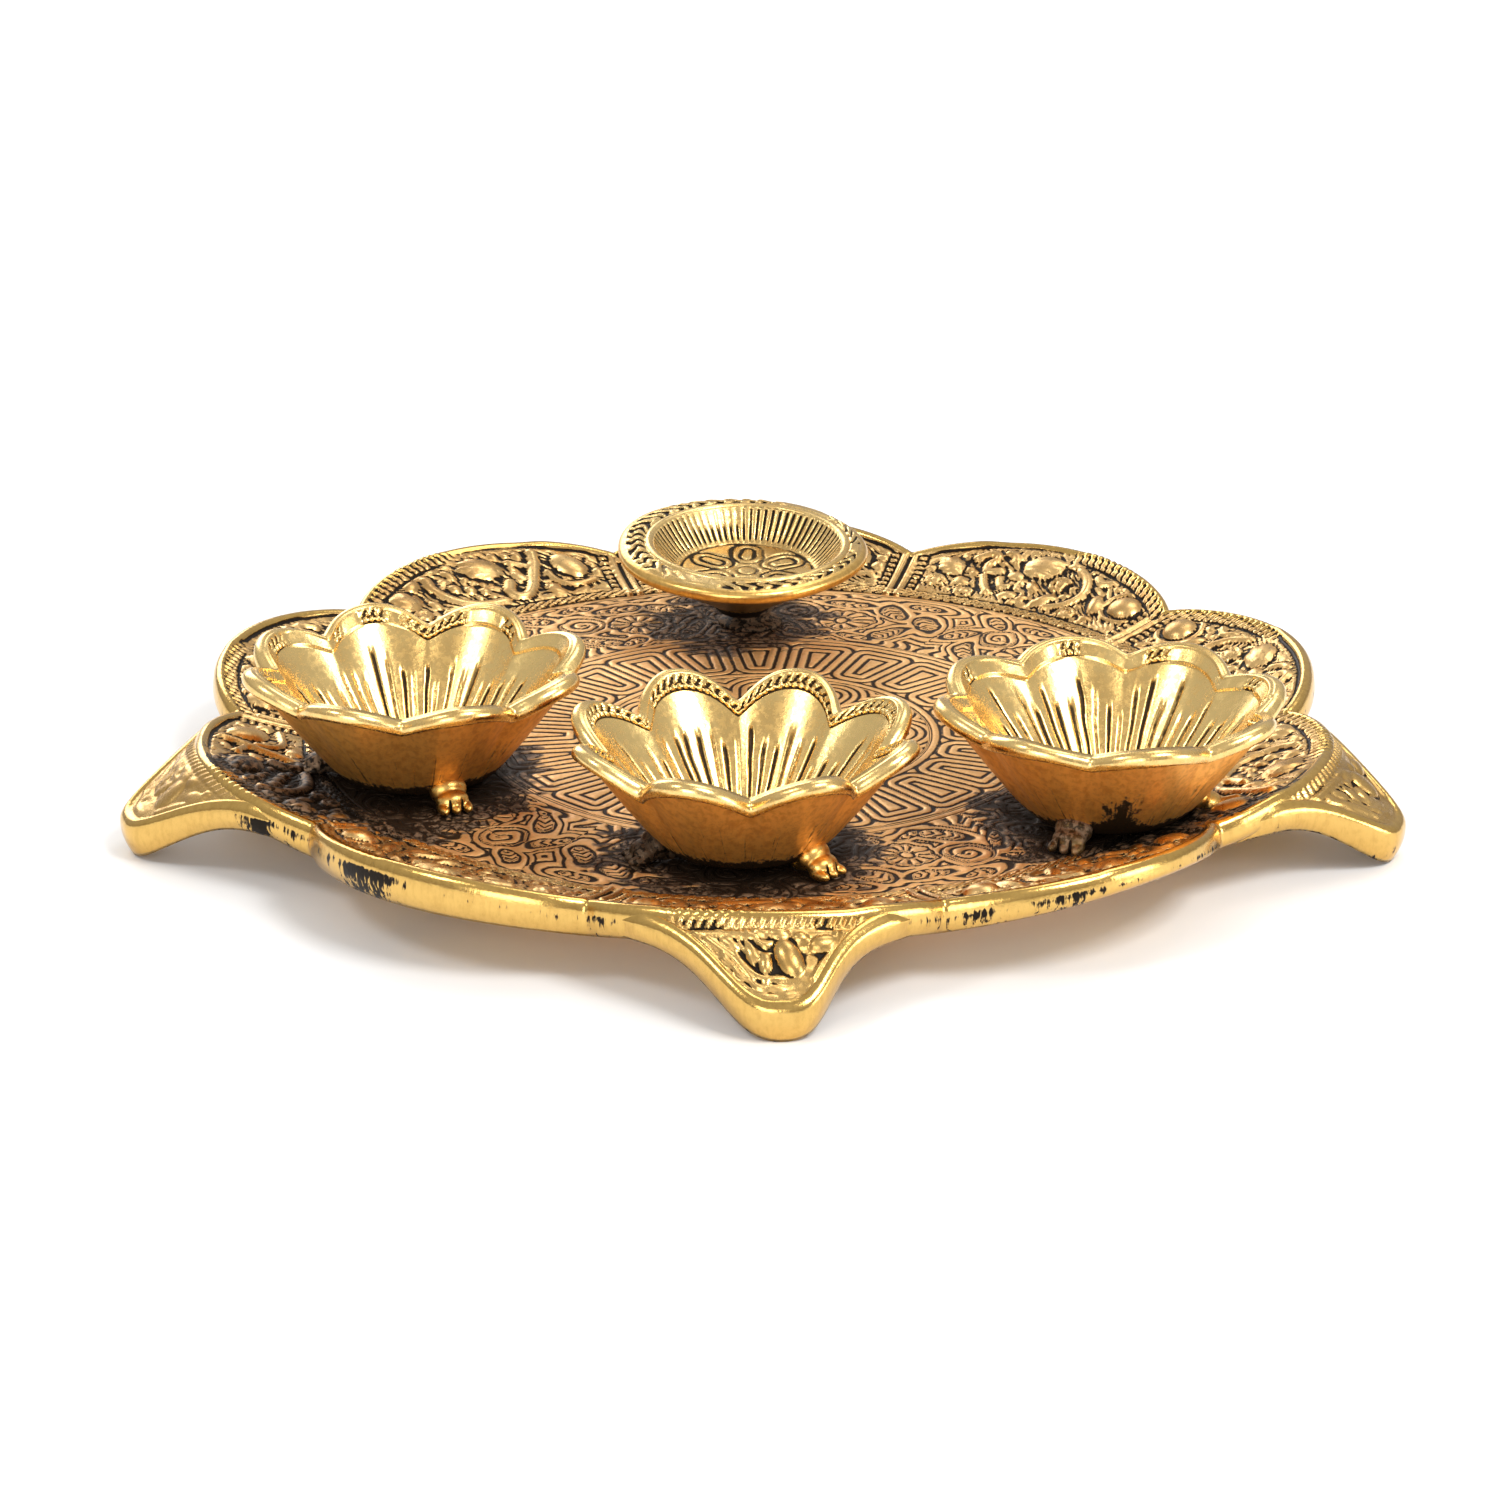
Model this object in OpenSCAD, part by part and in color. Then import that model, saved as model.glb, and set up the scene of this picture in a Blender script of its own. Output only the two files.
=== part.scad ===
// Puja thali: a ten-lobed cast offering plate on five leaf feet,
// with three petal bowls on claw legs and one round lamp dish on a pedestal.
// X runs to the right, Y away from the front foot, Z up from the table. Millimetres.

/* [Plate] */
// Radius over the rounded lobes of the rim
lobe_r = 101.5; // [98:0.5:105]
// Radius of the rim in the valleys between lobes
valley_r = 94; // [92:0.5:97]
// Height of the lobe tops above the table
lobe_z = 16.8; // [15.5:0.1:18]
// Height of the rim in the valleys above the table
valley_z = 13.4; // [12.8:0.1:15]
// Radius of the flat floor
floor_r = 78; // [77:0.5:80]
// Height of the floor's top face above the table
floor_z = 10; // [9:0.1:10.6]
// Thickness of the floor
floor_t = 2.8; // [2:0.1:3.5]
// Height of the rim's outer edge face
edge_t = 5; // [4.4:0.1:5.6]

/* [Leaf feet] */
// How far a leaf reaches out past its lobe
leaf_reach = 13; // [11:0.5:16]
// Height of the leaf tip's upper edge above the table
leaf_tip_z = 5.5; // [4.5:0.1:6.5]
// Angle at the plate's axis from a leaf's midrib to where the leaf is half as long
leaf_angle = 5.8; // [5:0.1:6.6]
// How far the middle of a leaf is sunk below its raised border
leaf_dish = 0.9; // [0:0.1:1.4]
// How far the tip's bottom edge is drawn in under its top edge
tip_undercut = 1.5; // [0.5:0.1:2]

/* [Petal bowls] */
// Radius of a bowl over its petals
petal_r = 30.2; // [28.6:0.2:31]
// Radius of a bowl's rim in the notches between petals
notch_r = 25; // [24:0.2:27]
// Height of the petal tops above the plate floor
petal_z = 22.4; // [20:0.2:24]
// Height of the notches above the plate floor
notch_z = 17.8; // [16:0.2:19]
// Radius of a bowl's flat bottom
bowl_base_r = 14; // [13:0.2:15]
// Wall thickness of a bowl
bowl_wall = 2; // [1.6:0.1:2.4]
// Height of a bowl's bottom above the plate floor
leg_h = 2; // [1.6:0.1:2.6]
// Height above the plate floor that a claw leg climbs up the bowl's wall
knee_h = 6; // [5:0.2:7]
// Reach of a claw's toes from the bowl's axis
toe_r = 20.8; // [20:0.2:22]
// Angle that one claw leg spans round the bowl's axis
leg_angle = 20; // [16:1:24]
// Radius of the grooves between the toes
toe_groove_r = 0.5; // [0.3:0.05:0.7]

/* [Lamp dish] */
// Outer radius of the dish
dish_r = 23.2; // [22:0.2:25]
// Radius of the dish's opening
dish_open_r = 18.2; // [17:0.2:19]
// Radius of the dish's inner floor
dish_floor_r = 12.6; // [11:0.2:13.6]
// Height of the dish's flat rim above the plate floor
dish_z = 16.6; // [15.6:0.2:18]
// Depth of the dish
dish_depth = 6; // [5:0.1:6.6]
// Thickness of the dish's lip
lip_t = 2.6; // [2:0.1:3]
// Radius of the pedestal's waist
stem_r = 3.6; // [3:0.2:4.4]
// Height of the pedestal
stem_h = 2.8; // [2.4:0.1:3.4]
// Radius of the pedestal's spread base
stem_base_r = 6; // [5.4:0.2:7]

/* [Layout] */
// Left bowl, across from the plate's axis
left_bowl_x = -59.8; // [-61:0.1:-57]
// Left bowl, along from the plate's axis
left_bowl_y = -22; // [-26:0.5:-18]
// Front bowl, across from the plate's axis
front_bowl_x = -3.5; // [-5:0.1:0]
// Front bowl, along from the plate's axis
front_bowl_y = -56; // [-58:0.5:-52]
// Right bowl, across from the plate's axis
right_bowl_x = 58; // [57:0.1:59]
// Right bowl, along from the plate's axis
right_bowl_y = -40.5; // [-41:0.5:-36]
// Lamp dish, across from the plate's axis
dish_x = -4; // [-6:0.1:0]
// Lamp dish, along from the plate's axis
dish_y = 59; // [54:0.5:62]
// Pedestal, across from the middle of the dish that it carries
stem_offset = 1.6; // [0:0.1:2]

/* [Hidden] */
$fn = 96;

// The plate's axis is set back so that the part's box is centred on the origin
axis_y = leaf_reach / 2;

// Samples round the plate, a whole number for each lobe
lobes = 10;
lobe_steps = 20;
plate_steps = lobes * lobe_steps;
lobe_angle = 360 / lobes;
// Swell: how full a lobe or petal is, and how rounded the gaps between lobes and between petals are
swell_power = 0.75;
valley_soft = 0.06;
notch_soft = 0.12;
// Rim rise: how late the floor turns up into the rim, and the shares of the rise that are modelled
rim_power = 1.4;
rim_shares = [0, 0.35, 0.7, 1];
// Thickness of the rim under its upper part, and the share of the rise where it is measured
rim_t = 3.6;
rim_t_share = 0.75;
// Rounding of the rim's crest and lower edge
crest_round = 1.6;
under_round = 0.6;

// Angle that a leaf's root spans to each side, and its number of sections
leaf_half = 14;
leaf_steps = 22;
// Power that sets how blunt the tip is, and how far past its last section a leaf's length is nothing
leaf_power = 3;
leaf_runout = 0.2;
// Thickness of a leaf at the tip, measured down to where the foot pad cuts it off
leaf_tip_t = 9;
// Shares of a leaf's length that are modelled, below and above
leaf_shares_under = [0, 0.45, 0.8, 1];
leaf_shares_top = [1, 0.75, 0.5, 0.25, 0];

petals = 8;
bowl_steps = 96;
bowl_floor_t = 2;
// Flare of a bowl's wall, and the shares of its height that are modelled, inside and outside
wall_power = 0.9;
wall_shares_in = [0, 0.12, 0.4, 0.7, 0.97];
wall_shares_out = [0.96, 0.65, 0.3, 0];

// A claw leg: depth under the bowl, thickness at the knee and clearance from the wall above it
heel_depth = 4.6;
knee_t = 1.6;
wall_gap = 0.1;

// Turn of each bowl's petals and of its legs about the bowl's own axis
left_bowl_turn = 20.5;
front_bowl_turn = 25;
right_bowl_turn = 12;
left_leg_turn = -67;
front_leg_turn = -42;
right_leg_turn = 245;

gold = "goldenrod";
pale_gold = "gold";
amber = "darkgoldenrod";
patina = "dimgray";

// A value between two others, at a share of the way
function mix(a, b, t) = a + (b - a) * t;

// A point at a radius, an angle and a height
function polar(r, a, z) = [r * cos(a), r * sin(a), z];

// How far a lobe or petal swells at an angle from its middle, 1 there and 0 in the gap
function swell(a, count, soft) =
    let (c = cos(a * count / 2))
    pow((norm([c, soft]) - soft) / (norm([1, soft]) - soft), swell_power);

// The rim's outer radius and crest height at an angle from the back lobe's middle
function rim_r(a) = mix(valley_r, lobe_r, swell(a, lobes, valley_soft));
function rim_z(a) = mix(valley_z, lobe_z, swell(a, lobes, valley_soft));

// A point on the dished rim, with t from 0 at the floor to 1 at the crest, lowered by d
function rim_point(a, t, d) =
    [mix(floor_r, rim_r(a) - crest_round, t), mix(floor_z, rim_z(a), pow(t, rim_power)) - d];

// The plate's section at an angle, from the floor over the crest to the underside
function plate_section(a) = [
    for (t = rim_shares) rim_point(a, t, 0),
    [rim_r(a) - crest_round / 4, rim_z(a) - crest_round / 3],
    [rim_r(a), rim_z(a) - crest_round],
    [rim_r(a) - under_round, rim_z(a) - edge_t + under_round],
    [rim_r(a) - 2 * under_round, rim_z(a) - edge_t],
    rim_point(a, rim_t_share, rim_t),
    rim_point(a, rim_shares[1], floor_t),
    [floor_r + under_round, floor_z - floor_t]
];

// Closes a row of rings, each the same number of points, with a face on the first and the last
module skin(rings) {
    n = len(rings[0]);
    last = (len(rings) - 1) * n;
    walls = [
        for (j = [0 : n : last - n], i = [0 : n - 1])
        let (a = j + i, b = j + (i + 1) % n)
        each [[a, b, b + n], [a, b + n, a + n]]
    ];
    ends = [[for (i = [n - 1 : -1 : 0]) i], [for (i = [0 : n - 1]) last + i]];
    polyhedron([for (ring = rings) each ring], concat(walls, ends), convexity = 8);
}

module on_plate_axis() {
    translate([0, axis_y, 0]) children();
}

// The cast plate: flat floor, dished lobed rim and rounded edge
module plate() {
    angles = [for (i = [0 : plate_steps - 1]) i * 360 / plate_steps];
    sections = [for (a = angles) plate_section(a)];
    color(gold)
    on_plate_axis()
    skin([
        for (k = [0 : len(sections[0]) - 1])
        [for (i = [0 : plate_steps - 1]) polar(sections[i][k][0], angles[i] + 90, sections[i][k][1])]
    ]);
}

// A leaf's length at an angle from its midrib, as a share of its full reach
function leaf_bell(u) = 1 / (1 + pow(abs(u) / leaf_angle, leaf_power));
function leaf_share(u) =
    let (least = leaf_bell(leaf_half + leaf_runout))
    (leaf_bell(u) - least) / (1 - least);

// The leaf's upper face: it slopes from the rim's edge to the tip and is sunk inside its border
function leaf_top(u, t) =
    let (
        share = t * leaf_share(u),
        root_z = rim_z(u) - crest_round,
        sink = leaf_dish * leaf_share(u) * sin(180 * t)
    )
    [rim_r(u) + leaf_reach * share, mix(root_z, leaf_tip_z, share) - sink];

// The leaf's underside, cut flat where it stands on the table
function leaf_under(u, t) =
    let (
        share = t * leaf_share(u),
        root_z = rim_z(u) - edge_t + under_round,
        r = rim_r(u) - under_round + (leaf_reach - tip_undercut + under_round) * share
    )
    [r, max(0, mix(root_z, leaf_tip_z - leaf_tip_t, share))];

// The leaf's section from root to tip and back, at an angle from its midrib
function leaf_section(u) = [
    for (t = leaf_shares_under) leaf_under(u, t),
    for (t = leaf_shares_top) leaf_top(u, t)
];

// One leaf foot, its root against the rim's edge, at an angle round the plate
module leaf_foot(angle) {
    color(pale_gold)
    on_plate_axis()
    skin([
        for (i = [0 : leaf_steps])
        let (u = mix(-leaf_half, leaf_half, i / leaf_steps))
        [for (p = leaf_section(u)) polar(p[0], angle + u, p[1])]
    ]);
}

module leaf_foot_front() { leaf_foot(270); }
module leaf_foot_left() { leaf_foot(198); }
module leaf_foot_right() { leaf_foot(342); }
module leaf_foot_back_left() { leaf_foot(126); }
module leaf_foot_back_right() { leaf_foot(54); }

// The bowl's rim at an angle from a petal's middle
function petal_rim_r(a) = mix(notch_r, petal_r, swell(a, petals, notch_soft));
function petal_rim_z(a) = mix(notch_z, petal_z, swell(a, petals, notch_soft));

// A point on the bowl's wall, t from 0 at its bottom to 1 at the rim, moved in by the wall
function bowl_point(a, t, inset, bottom_z) =
    let (r = mix(bowl_base_r, petal_rim_r(a), pow(t, wall_power)) - inset)
    polar(r, a, mix(bottom_z, petal_rim_z(a), t));

// One ring of the bowl's wall
function bowl_ring(t, inset, bottom_z) =
    [for (i = [0 : bowl_steps - 1]) bowl_point(i * 360 / bowl_steps, t, inset, bottom_z)];

// One petal bowl about its own axis, from the plate floor up
module petal_bowl() {
    color(pale_gold)
    skin([
        for (t = wall_shares_in) bowl_ring(t, bowl_wall, leg_h + bowl_floor_t),
        bowl_ring(1, bowl_wall / 2, leg_h),
        for (t = wall_shares_out) bowl_ring(t, 0, leg_h)
    ]);
}

// A point beside the bowl's wall at a height, moved out from it
function beside_wall(z, out) =
    [mix(bowl_base_r, petal_r, pow((z - leg_h) / (petal_z - leg_h), wall_power)) + out, z];

// One claw leg about its bowl's axis: a paw under the bowl's edge, with grooves between its toes
module claw_leg() {
    heel_r = bowl_base_r - heel_depth;
    knee = beside_wall(knee_h, wall_gap + knee_t);
    groove_tilt = atan2(toe_r - knee[0], knee_h);
    color(amber)
    difference() {
        rotate([0, 0, -leg_angle / 2])
        rotate_extrude(angle = leg_angle)
        polygon([
            [heel_r, leg_h], [bowl_base_r, leg_h], beside_wall(knee_h * 0.6, wall_gap),
            beside_wall(knee_h, wall_gap), knee, [toe_r, leg_h / 2], [toe_r, 0],
            [heel_r + heel_depth / 2, 0], [heel_r + heel_depth / 4, leg_h / 2]
        ]);
        for (side = [-1, 1])
        rotate([0, 0, side * leg_angle / 6])
        translate([toe_r, 0, leg_h / 2])
        rotate([0, -groove_tilt, 0])
        cylinder(r = toe_groove_r, h = 3 * knee_h, center = true, $fn = 24);
    }
}

// Puts a bowl or a leg on the plate floor, turned about the bowl's axis
module on_floor(x, y, turn) {
    on_plate_axis()
    translate([x, y, floor_z])
    rotate([0, 0, turn])
    children();
}

module left_bowl() { on_floor(left_bowl_x, left_bowl_y, left_bowl_turn) petal_bowl(); }
module front_bowl() { on_floor(front_bowl_x, front_bowl_y, front_bowl_turn) petal_bowl(); }
module right_bowl() { on_floor(right_bowl_x, right_bowl_y, right_bowl_turn) petal_bowl(); }

module left_bowl_leg(k) { on_floor(left_bowl_x, left_bowl_y, left_leg_turn + 120 * k) claw_leg(); }
module front_bowl_leg(k) { on_floor(front_bowl_x, front_bowl_y, front_leg_turn + 120 * k) claw_leg(); }
module right_bowl_leg(k) { on_floor(right_bowl_x, right_bowl_y, right_leg_turn + 120 * k) claw_leg(); }

module left_bowl_front_leg() { left_bowl_leg(0); }
module left_bowl_right_leg() { left_bowl_leg(1); }
module left_bowl_left_leg() { left_bowl_leg(2); }
module front_bowl_right_leg() { front_bowl_leg(0); }
module front_bowl_rear_leg() { front_bowl_leg(1); }
module front_bowl_left_leg() { front_bowl_leg(2); }
module right_bowl_front_leg() { right_bowl_leg(0); }
module right_bowl_right_leg() { right_bowl_leg(1); }
module right_bowl_rear_leg() { right_bowl_leg(2); }

// The round lamp dish: sloping inner wall, broad flat rim, smooth lip and conical underside
module lamp_dish() {
    floor_top = dish_z - dish_depth;
    lip_z = dish_z - lip_t;
    color(gold)
    on_floor(dish_x, dish_y, 0)
    rotate_extrude()
    polygon([
        [0, stem_h], [stem_r + stem_offset + 1, stem_h], [dish_floor_r, floor_top - lip_t],
        [dish_r - lip_t, lip_z - lip_t / 2], [dish_r - lip_t / 4, lip_z], [dish_r, lip_z + lip_t / 2],
        [dish_r - lip_t / 4, dish_z - lip_t / 8], [dish_r - lip_t / 2, dish_z], [dish_open_r + 0.8, dish_z],
        [dish_open_r, dish_z - 0.5], [dish_floor_r + 1, floor_top + 0.6],
        [dish_floor_r, floor_top], [0, floor_top]
    ]);
}

// The waisted pedestal that carries the lamp dish, a little off its middle
module lamp_dish_pedestal() {
    color(patina)
    on_floor(dish_x + stem_offset, dish_y, 0)
    rotate_extrude()
    polygon([
        [0, 0], [stem_base_r, 0], [stem_base_r, stem_h / 4], [stem_r + 0.8, stem_h / 2],
        [stem_r, stem_h * 0.7], [stem_r + 0.8, stem_h], [0, stem_h]
    ]);
}

plate();
leaf_foot_front();
leaf_foot_left();
leaf_foot_right();
leaf_foot_back_left();
leaf_foot_back_right();
left_bowl();
left_bowl_front_leg();
left_bowl_right_leg();
left_bowl_left_leg();
front_bowl();
front_bowl_right_leg();
front_bowl_rear_leg();
front_bowl_left_leg();
right_bowl();
right_bowl_front_leg();
right_bowl_right_leg();
right_bowl_rear_leg();
lamp_dish();
lamp_dish_pedestal();
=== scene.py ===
"""Looks of a puja thali in cast, gold-plated metal with blackened recesses.

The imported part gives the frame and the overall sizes. This script puts finely
modelled pieces in place of its nodes: an engraved plate floor, a relief rim,
leaf feet, petal bowls on claw legs and a lamp dish on a pedestal. Lengths
inside the classes are millimetres and angles are radians, unless a name or a
docstring says otherwise. Points become metres when a mesh is made.
"""

from __future__ import annotations

import logging
import math
from dataclasses import dataclass, field
from enum import Enum
from typing import ClassVar, Mapping, Sequence, Union

import bpy
import numpy as np
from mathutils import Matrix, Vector

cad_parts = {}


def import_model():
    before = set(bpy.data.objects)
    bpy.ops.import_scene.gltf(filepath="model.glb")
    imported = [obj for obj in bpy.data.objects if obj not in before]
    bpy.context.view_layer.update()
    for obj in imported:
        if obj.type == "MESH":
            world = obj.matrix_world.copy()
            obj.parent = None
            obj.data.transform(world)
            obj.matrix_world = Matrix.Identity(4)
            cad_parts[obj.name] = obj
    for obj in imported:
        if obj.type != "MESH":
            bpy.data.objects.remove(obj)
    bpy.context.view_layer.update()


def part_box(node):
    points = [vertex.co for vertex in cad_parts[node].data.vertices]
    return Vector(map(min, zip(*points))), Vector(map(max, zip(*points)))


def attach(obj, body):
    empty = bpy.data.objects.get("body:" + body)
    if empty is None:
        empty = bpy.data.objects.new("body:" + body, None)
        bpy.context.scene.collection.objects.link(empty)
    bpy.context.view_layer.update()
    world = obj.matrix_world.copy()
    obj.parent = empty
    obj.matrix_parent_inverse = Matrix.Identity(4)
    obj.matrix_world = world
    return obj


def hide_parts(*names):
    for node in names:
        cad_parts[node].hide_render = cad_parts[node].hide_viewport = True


LOG = logging.getLogger("thali")
MM = 0.001
BODY = "root"
SWELL_POWER = 0.75

Array = np.ndarray
Colour = tuple[float, float, float]
Point = tuple[float, float]
Circle = tuple[float, float, float]
Place = tuple[float, float, float]


def mix(low: Array, high: Array, share: Array) -> Array:
    """Returns the value at a share of the way from low to high."""
    return low + (high - low) * share


def ease(low: float, high: float, value: Array) -> Array:
    """Returns a smooth step of value, 0 at low and 1 at high."""
    share = np.clip((value - low) / (high - low), 0.0, 1.0)
    return share * share * (3.0 - 2.0 * share)


def ridge(away: Array, half: float) -> Array:
    """Returns the height, 0 to 1, of a round ridge at a distance from its line."""
    return np.sqrt(np.clip(1.0 - (away / half) ** 2, 0.0, 1.0))


def strokes(along: Array, period: float, fill: float = 0.5) -> Array:
    """Draws soft-edged strokes that repeat along a length.

    Args:
        along: Length along the band.
        period: Length of one stroke and its gap.
        fill: Share of the period that the stroke takes.

    Returns:
        Values from 0 in a gap to 1 on a stroke.
    """
    wave = np.cos(2.0 * math.pi * along / period)
    level = math.cos(math.pi * fill)
    return ease(level - 0.45, level + 0.45, wave)


def swell(angle: Array, count: int, soft: float) -> Array:
    """Swells in each of a number of equal lobes.

    Args:
        angle: Angles from a lobe's middle.
        count: Number of lobes round the turn.
        soft: How rounded the gaps are.

    Returns:
        Values from 0 in the gaps to 1 in the middle of each lobe.
    """
    wave = np.hypot(np.cos(angle * count / 2.0), soft) - soft
    return (wave / (math.hypot(1.0, soft) - soft)) ** SWELL_POWER


def bump(value: Array, middle: float, spread: float) -> Array:
    """Returns a round bump of value, 1 at its middle and fading over a spread to each side."""
    return np.exp(-(((value - middle) / spread) ** 2))


def full_turn(count: int) -> Array:
    """Returns one row of equal angles round a turn."""
    return np.linspace(0.0, 2 * math.pi, count, endpoint=False)[None, :]


def blurred(values: Array, rows: int, columns: int) -> Array:
    """Blurs a grid twice, with columns that close into a ring.

    Args:
        values: Grid of rows by columns.
        rows: Rows to each side that the blur takes in.
        columns: Columns to each side that the blur takes in.

    Returns:
        The blurred grid.
    """
    result = values
    for _ in range(2):
        padded = np.pad(result, ((rows, rows), (columns, columns)), mode="edge")
        padded[:, :columns] = padded[:, -2 * columns : -columns]
        padded[:, -columns:] = padded[:, columns : 2 * columns]
        height, width = result.shape
        tall = sum(padded[k : k + height] for k in range(2 * rows + 1)) / (2 * rows + 1)
        result = sum(tall[:, k : k + width] for k in range(2 * columns + 1)) / (2 * columns + 1)
    return result


class Lattice:
    """Smooth, seeded value noise on a plane."""

    SIDE = 256

    def __init__(self, seed: int) -> None:
        """Fills the lattice from a seed."""
        self.values = np.random.default_rng(seed).random((self.SIDE, self.SIDE))

    def at(self, x: Array, y: Array, cell: float) -> Array:
        """Reads the noise at points.

        Args:
            x: Places along x.
            y: Places along y.
            cell: Size of one cell.

        Returns:
            Values from 0 to 1.
        """
        u, v = np.asarray(x) / cell, np.asarray(y) / cell
        i, j = np.floor(u).astype(int), np.floor(v).astype(int)
        a, b = ease(0.0, 1.0, u - i), ease(0.0, 1.0, v - j)
        i0, i1, j0, j1 = (n % self.SIDE for n in (i, i + 1, j, j + 1))
        near = mix(self.values[i0, j0], self.values[i1, j0], a)
        far = mix(self.values[i0, j1], self.values[i1, j1], a)
        return mix(near, far, b)


NOISE = Lattice(31)


def put_marks(mesh: bpy.types.Mesh, marks: Mapping[str, Array]) -> None:
    """Writes a value of every mark on each point of a mesh."""
    for name, values in marks.items():
        layer = mesh.attributes.new(name, "FLOAT", "POINT")
        layer.data.foreach_set("value", values)


def placed(name: str, data: bpy.types.ID, origin: Vector | Place) -> bpy.types.Object:
    """Puts a new object in the scene.

    Args:
        name: Name of the object.
        data: Its mesh, light or camera.
        origin: Its place, in metres.

    Returns:
        The linked object.
    """
    made = bpy.data.objects.new(name, data)
    made.location = origin
    bpy.context.scene.collection.objects.link(made)
    return made


@dataclass
class Skin:
    """Points, faces and marks of one piece, gathered before its mesh is made."""

    points: list[Array] = field(default_factory=list)
    faces: list[list[int]] = field(default_factory=list)
    marks: dict[str, list[Array]] = field(default_factory=dict)
    count: int = 0

    def add(self, points: Array, marks: Mapping[str, Array]) -> int:
        """Adds points with a value of every mark.

        Args:
            points: Points in a grid of any shape.
            marks: Values that spread over the points, by mark.

        Returns:
            The index of the first new point.
        """
        flat = points.reshape(-1, 3)
        first = self.count
        self.points.append(flat)
        self.count += len(flat)
        for name, values in marks.items():
            spread = np.broadcast_to(np.asarray(values, float), points.shape[:-1])
            self.marks.setdefault(name, []).append(spread.reshape(-1))
        return first

    def weave(self, first: int, rows: int, columns: int, close: bool, ring: bool) -> None:
        """Joins a grid of points with quads.

        Args:
            first: Index of the grid's first point.
            rows: Number of rows.
            columns: Number of points in a row.
            close: True to join the last row to the first.
            ring: True to join the last column to the first.
        """
        i = np.arange(rows if close else rows - 1)[:, None]
        j = np.arange(columns if ring else columns - 1)[None, :]
        i1, j1 = (i + 1) % rows, (j + 1) % columns
        corners = (i * columns + j, i1 * columns + j, i1 * columns + j1, i * columns + j1)
        quads = np.stack([np.broadcast_to(c, (i.size, j.size)) for c in corners], axis=-1)
        self.faces.extend((quads.reshape(-1, 4) + first).tolist())

    def fan(self, centre: int, loop: Sequence[int]) -> None:
        """Joins a closed loop of points to a centre with triangles."""
        ends = list(loop[1:]) + [loop[0]]
        self.faces.extend([centre, a, b] for a, b in zip(loop, ends))

    def piece(self, name: str, origin: Vector) -> bpy.types.Object:
        """Makes the object in the row frame.

        Args:
            name: Name of the new piece.
            origin: Place of the points' origin in the row frame, in metres.

        Returns:
            The linked object, smooth shaded.
        """
        points = np.concatenate(self.points) * MM
        mesh = bpy.data.meshes.new(name)
        mesh.from_pydata(points.tolist(), [], self.faces)
        put_marks(mesh, {mark: np.concatenate(values) for mark, values in self.marks.items()})
        mesh.shade_smooth()
        mesh.validate()
        return placed(name, mesh, origin)


def ring_skin(points: Array, marks: Mapping[str, Array]) -> Skin:
    """Makes the skin of a turned shape, from its top middle round to its bottom middle.

    Args:
        points: Rows by columns of points. The first and last rows are small rings.
        marks: Values for each point, by mark.

    Returns:
        The closed skin.
    """
    rows, columns = points.shape[:2]
    skin = Skin()
    first = skin.add(points, marks)
    skin.weave(first, rows, columns, close=False, ring=True)
    for row, order in ((0, 1), (rows - 1, -1)):
        start = first + row * columns
        middle = points[row].mean(axis=0)[None, :]
        ends = {name: np.broadcast_to(v, points.shape[:2])[row].mean()[None] for name, v in marks.items()}
        centre = skin.add(middle, ends)
        skin.fan(centre, list(range(start, start + columns))[::order])
    return skin


def polar(radius: Array, angle: Array, height: Array) -> Array:
    """Returns points from cylinder coordinates."""
    radius, angle, height = np.broadcast_arrays(radius, angle, height)
    return np.stack([radius * np.cos(angle), radius * np.sin(angle), height], axis=-1)


Value = Union["Sock", float, tuple]


class Sock:
    """An output socket whose arithmetic adds Math nodes to its tree."""

    def __init__(self, shade: Shade, socket: bpy.types.NodeSocket | None) -> None:
        """Wraps a socket of a shade's tree."""
        self.shade = shade
        self.socket = socket

    def maths(self, operation: str, first: Value, second: Value) -> Sock:
        """Returns the result of one Math node."""
        return self.shade.node("ShaderNodeMath", {"operation": operation}, {0: first, 1: second})

    def __add__(self, other: Value) -> Sock:
        """Returns the sum with another value."""
        return self.maths("ADD", self, other)

    __radd__ = __add__

    def __sub__(self, other: Value) -> Sock:
        """Returns this value less another one."""
        return self.maths("SUBTRACT", self, other)

    def __rsub__(self, other: Value) -> Sock:
        """Returns another value less this one."""
        return self.maths("SUBTRACT", other, self)

    def __mul__(self, other: Value) -> Sock:
        """Returns the product with another value."""
        return self.maths("MULTIPLY", self, other)

    __rmul__ = __mul__

    def pingpong(self, scale: float) -> Sock:
        """Returns the distance to the nearest even multiple of scale."""
        return self.maths("PINGPONG", self, scale)

    def most(self, other: Value) -> Sock:
        """Returns the larger of two values."""
        return self.maths("MAXIMUM", self, other)

    def step(self, low: float, high: float) -> Sock:
        """Returns a smooth step, 0 at low and 1 at high."""
        return self.shade.node(
            "ShaderNodeMapRange",
            {"interpolation_type": "SMOOTHSTEP"},
            {"Value": self, "From Min": low, "From Max": high},
        )


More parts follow.
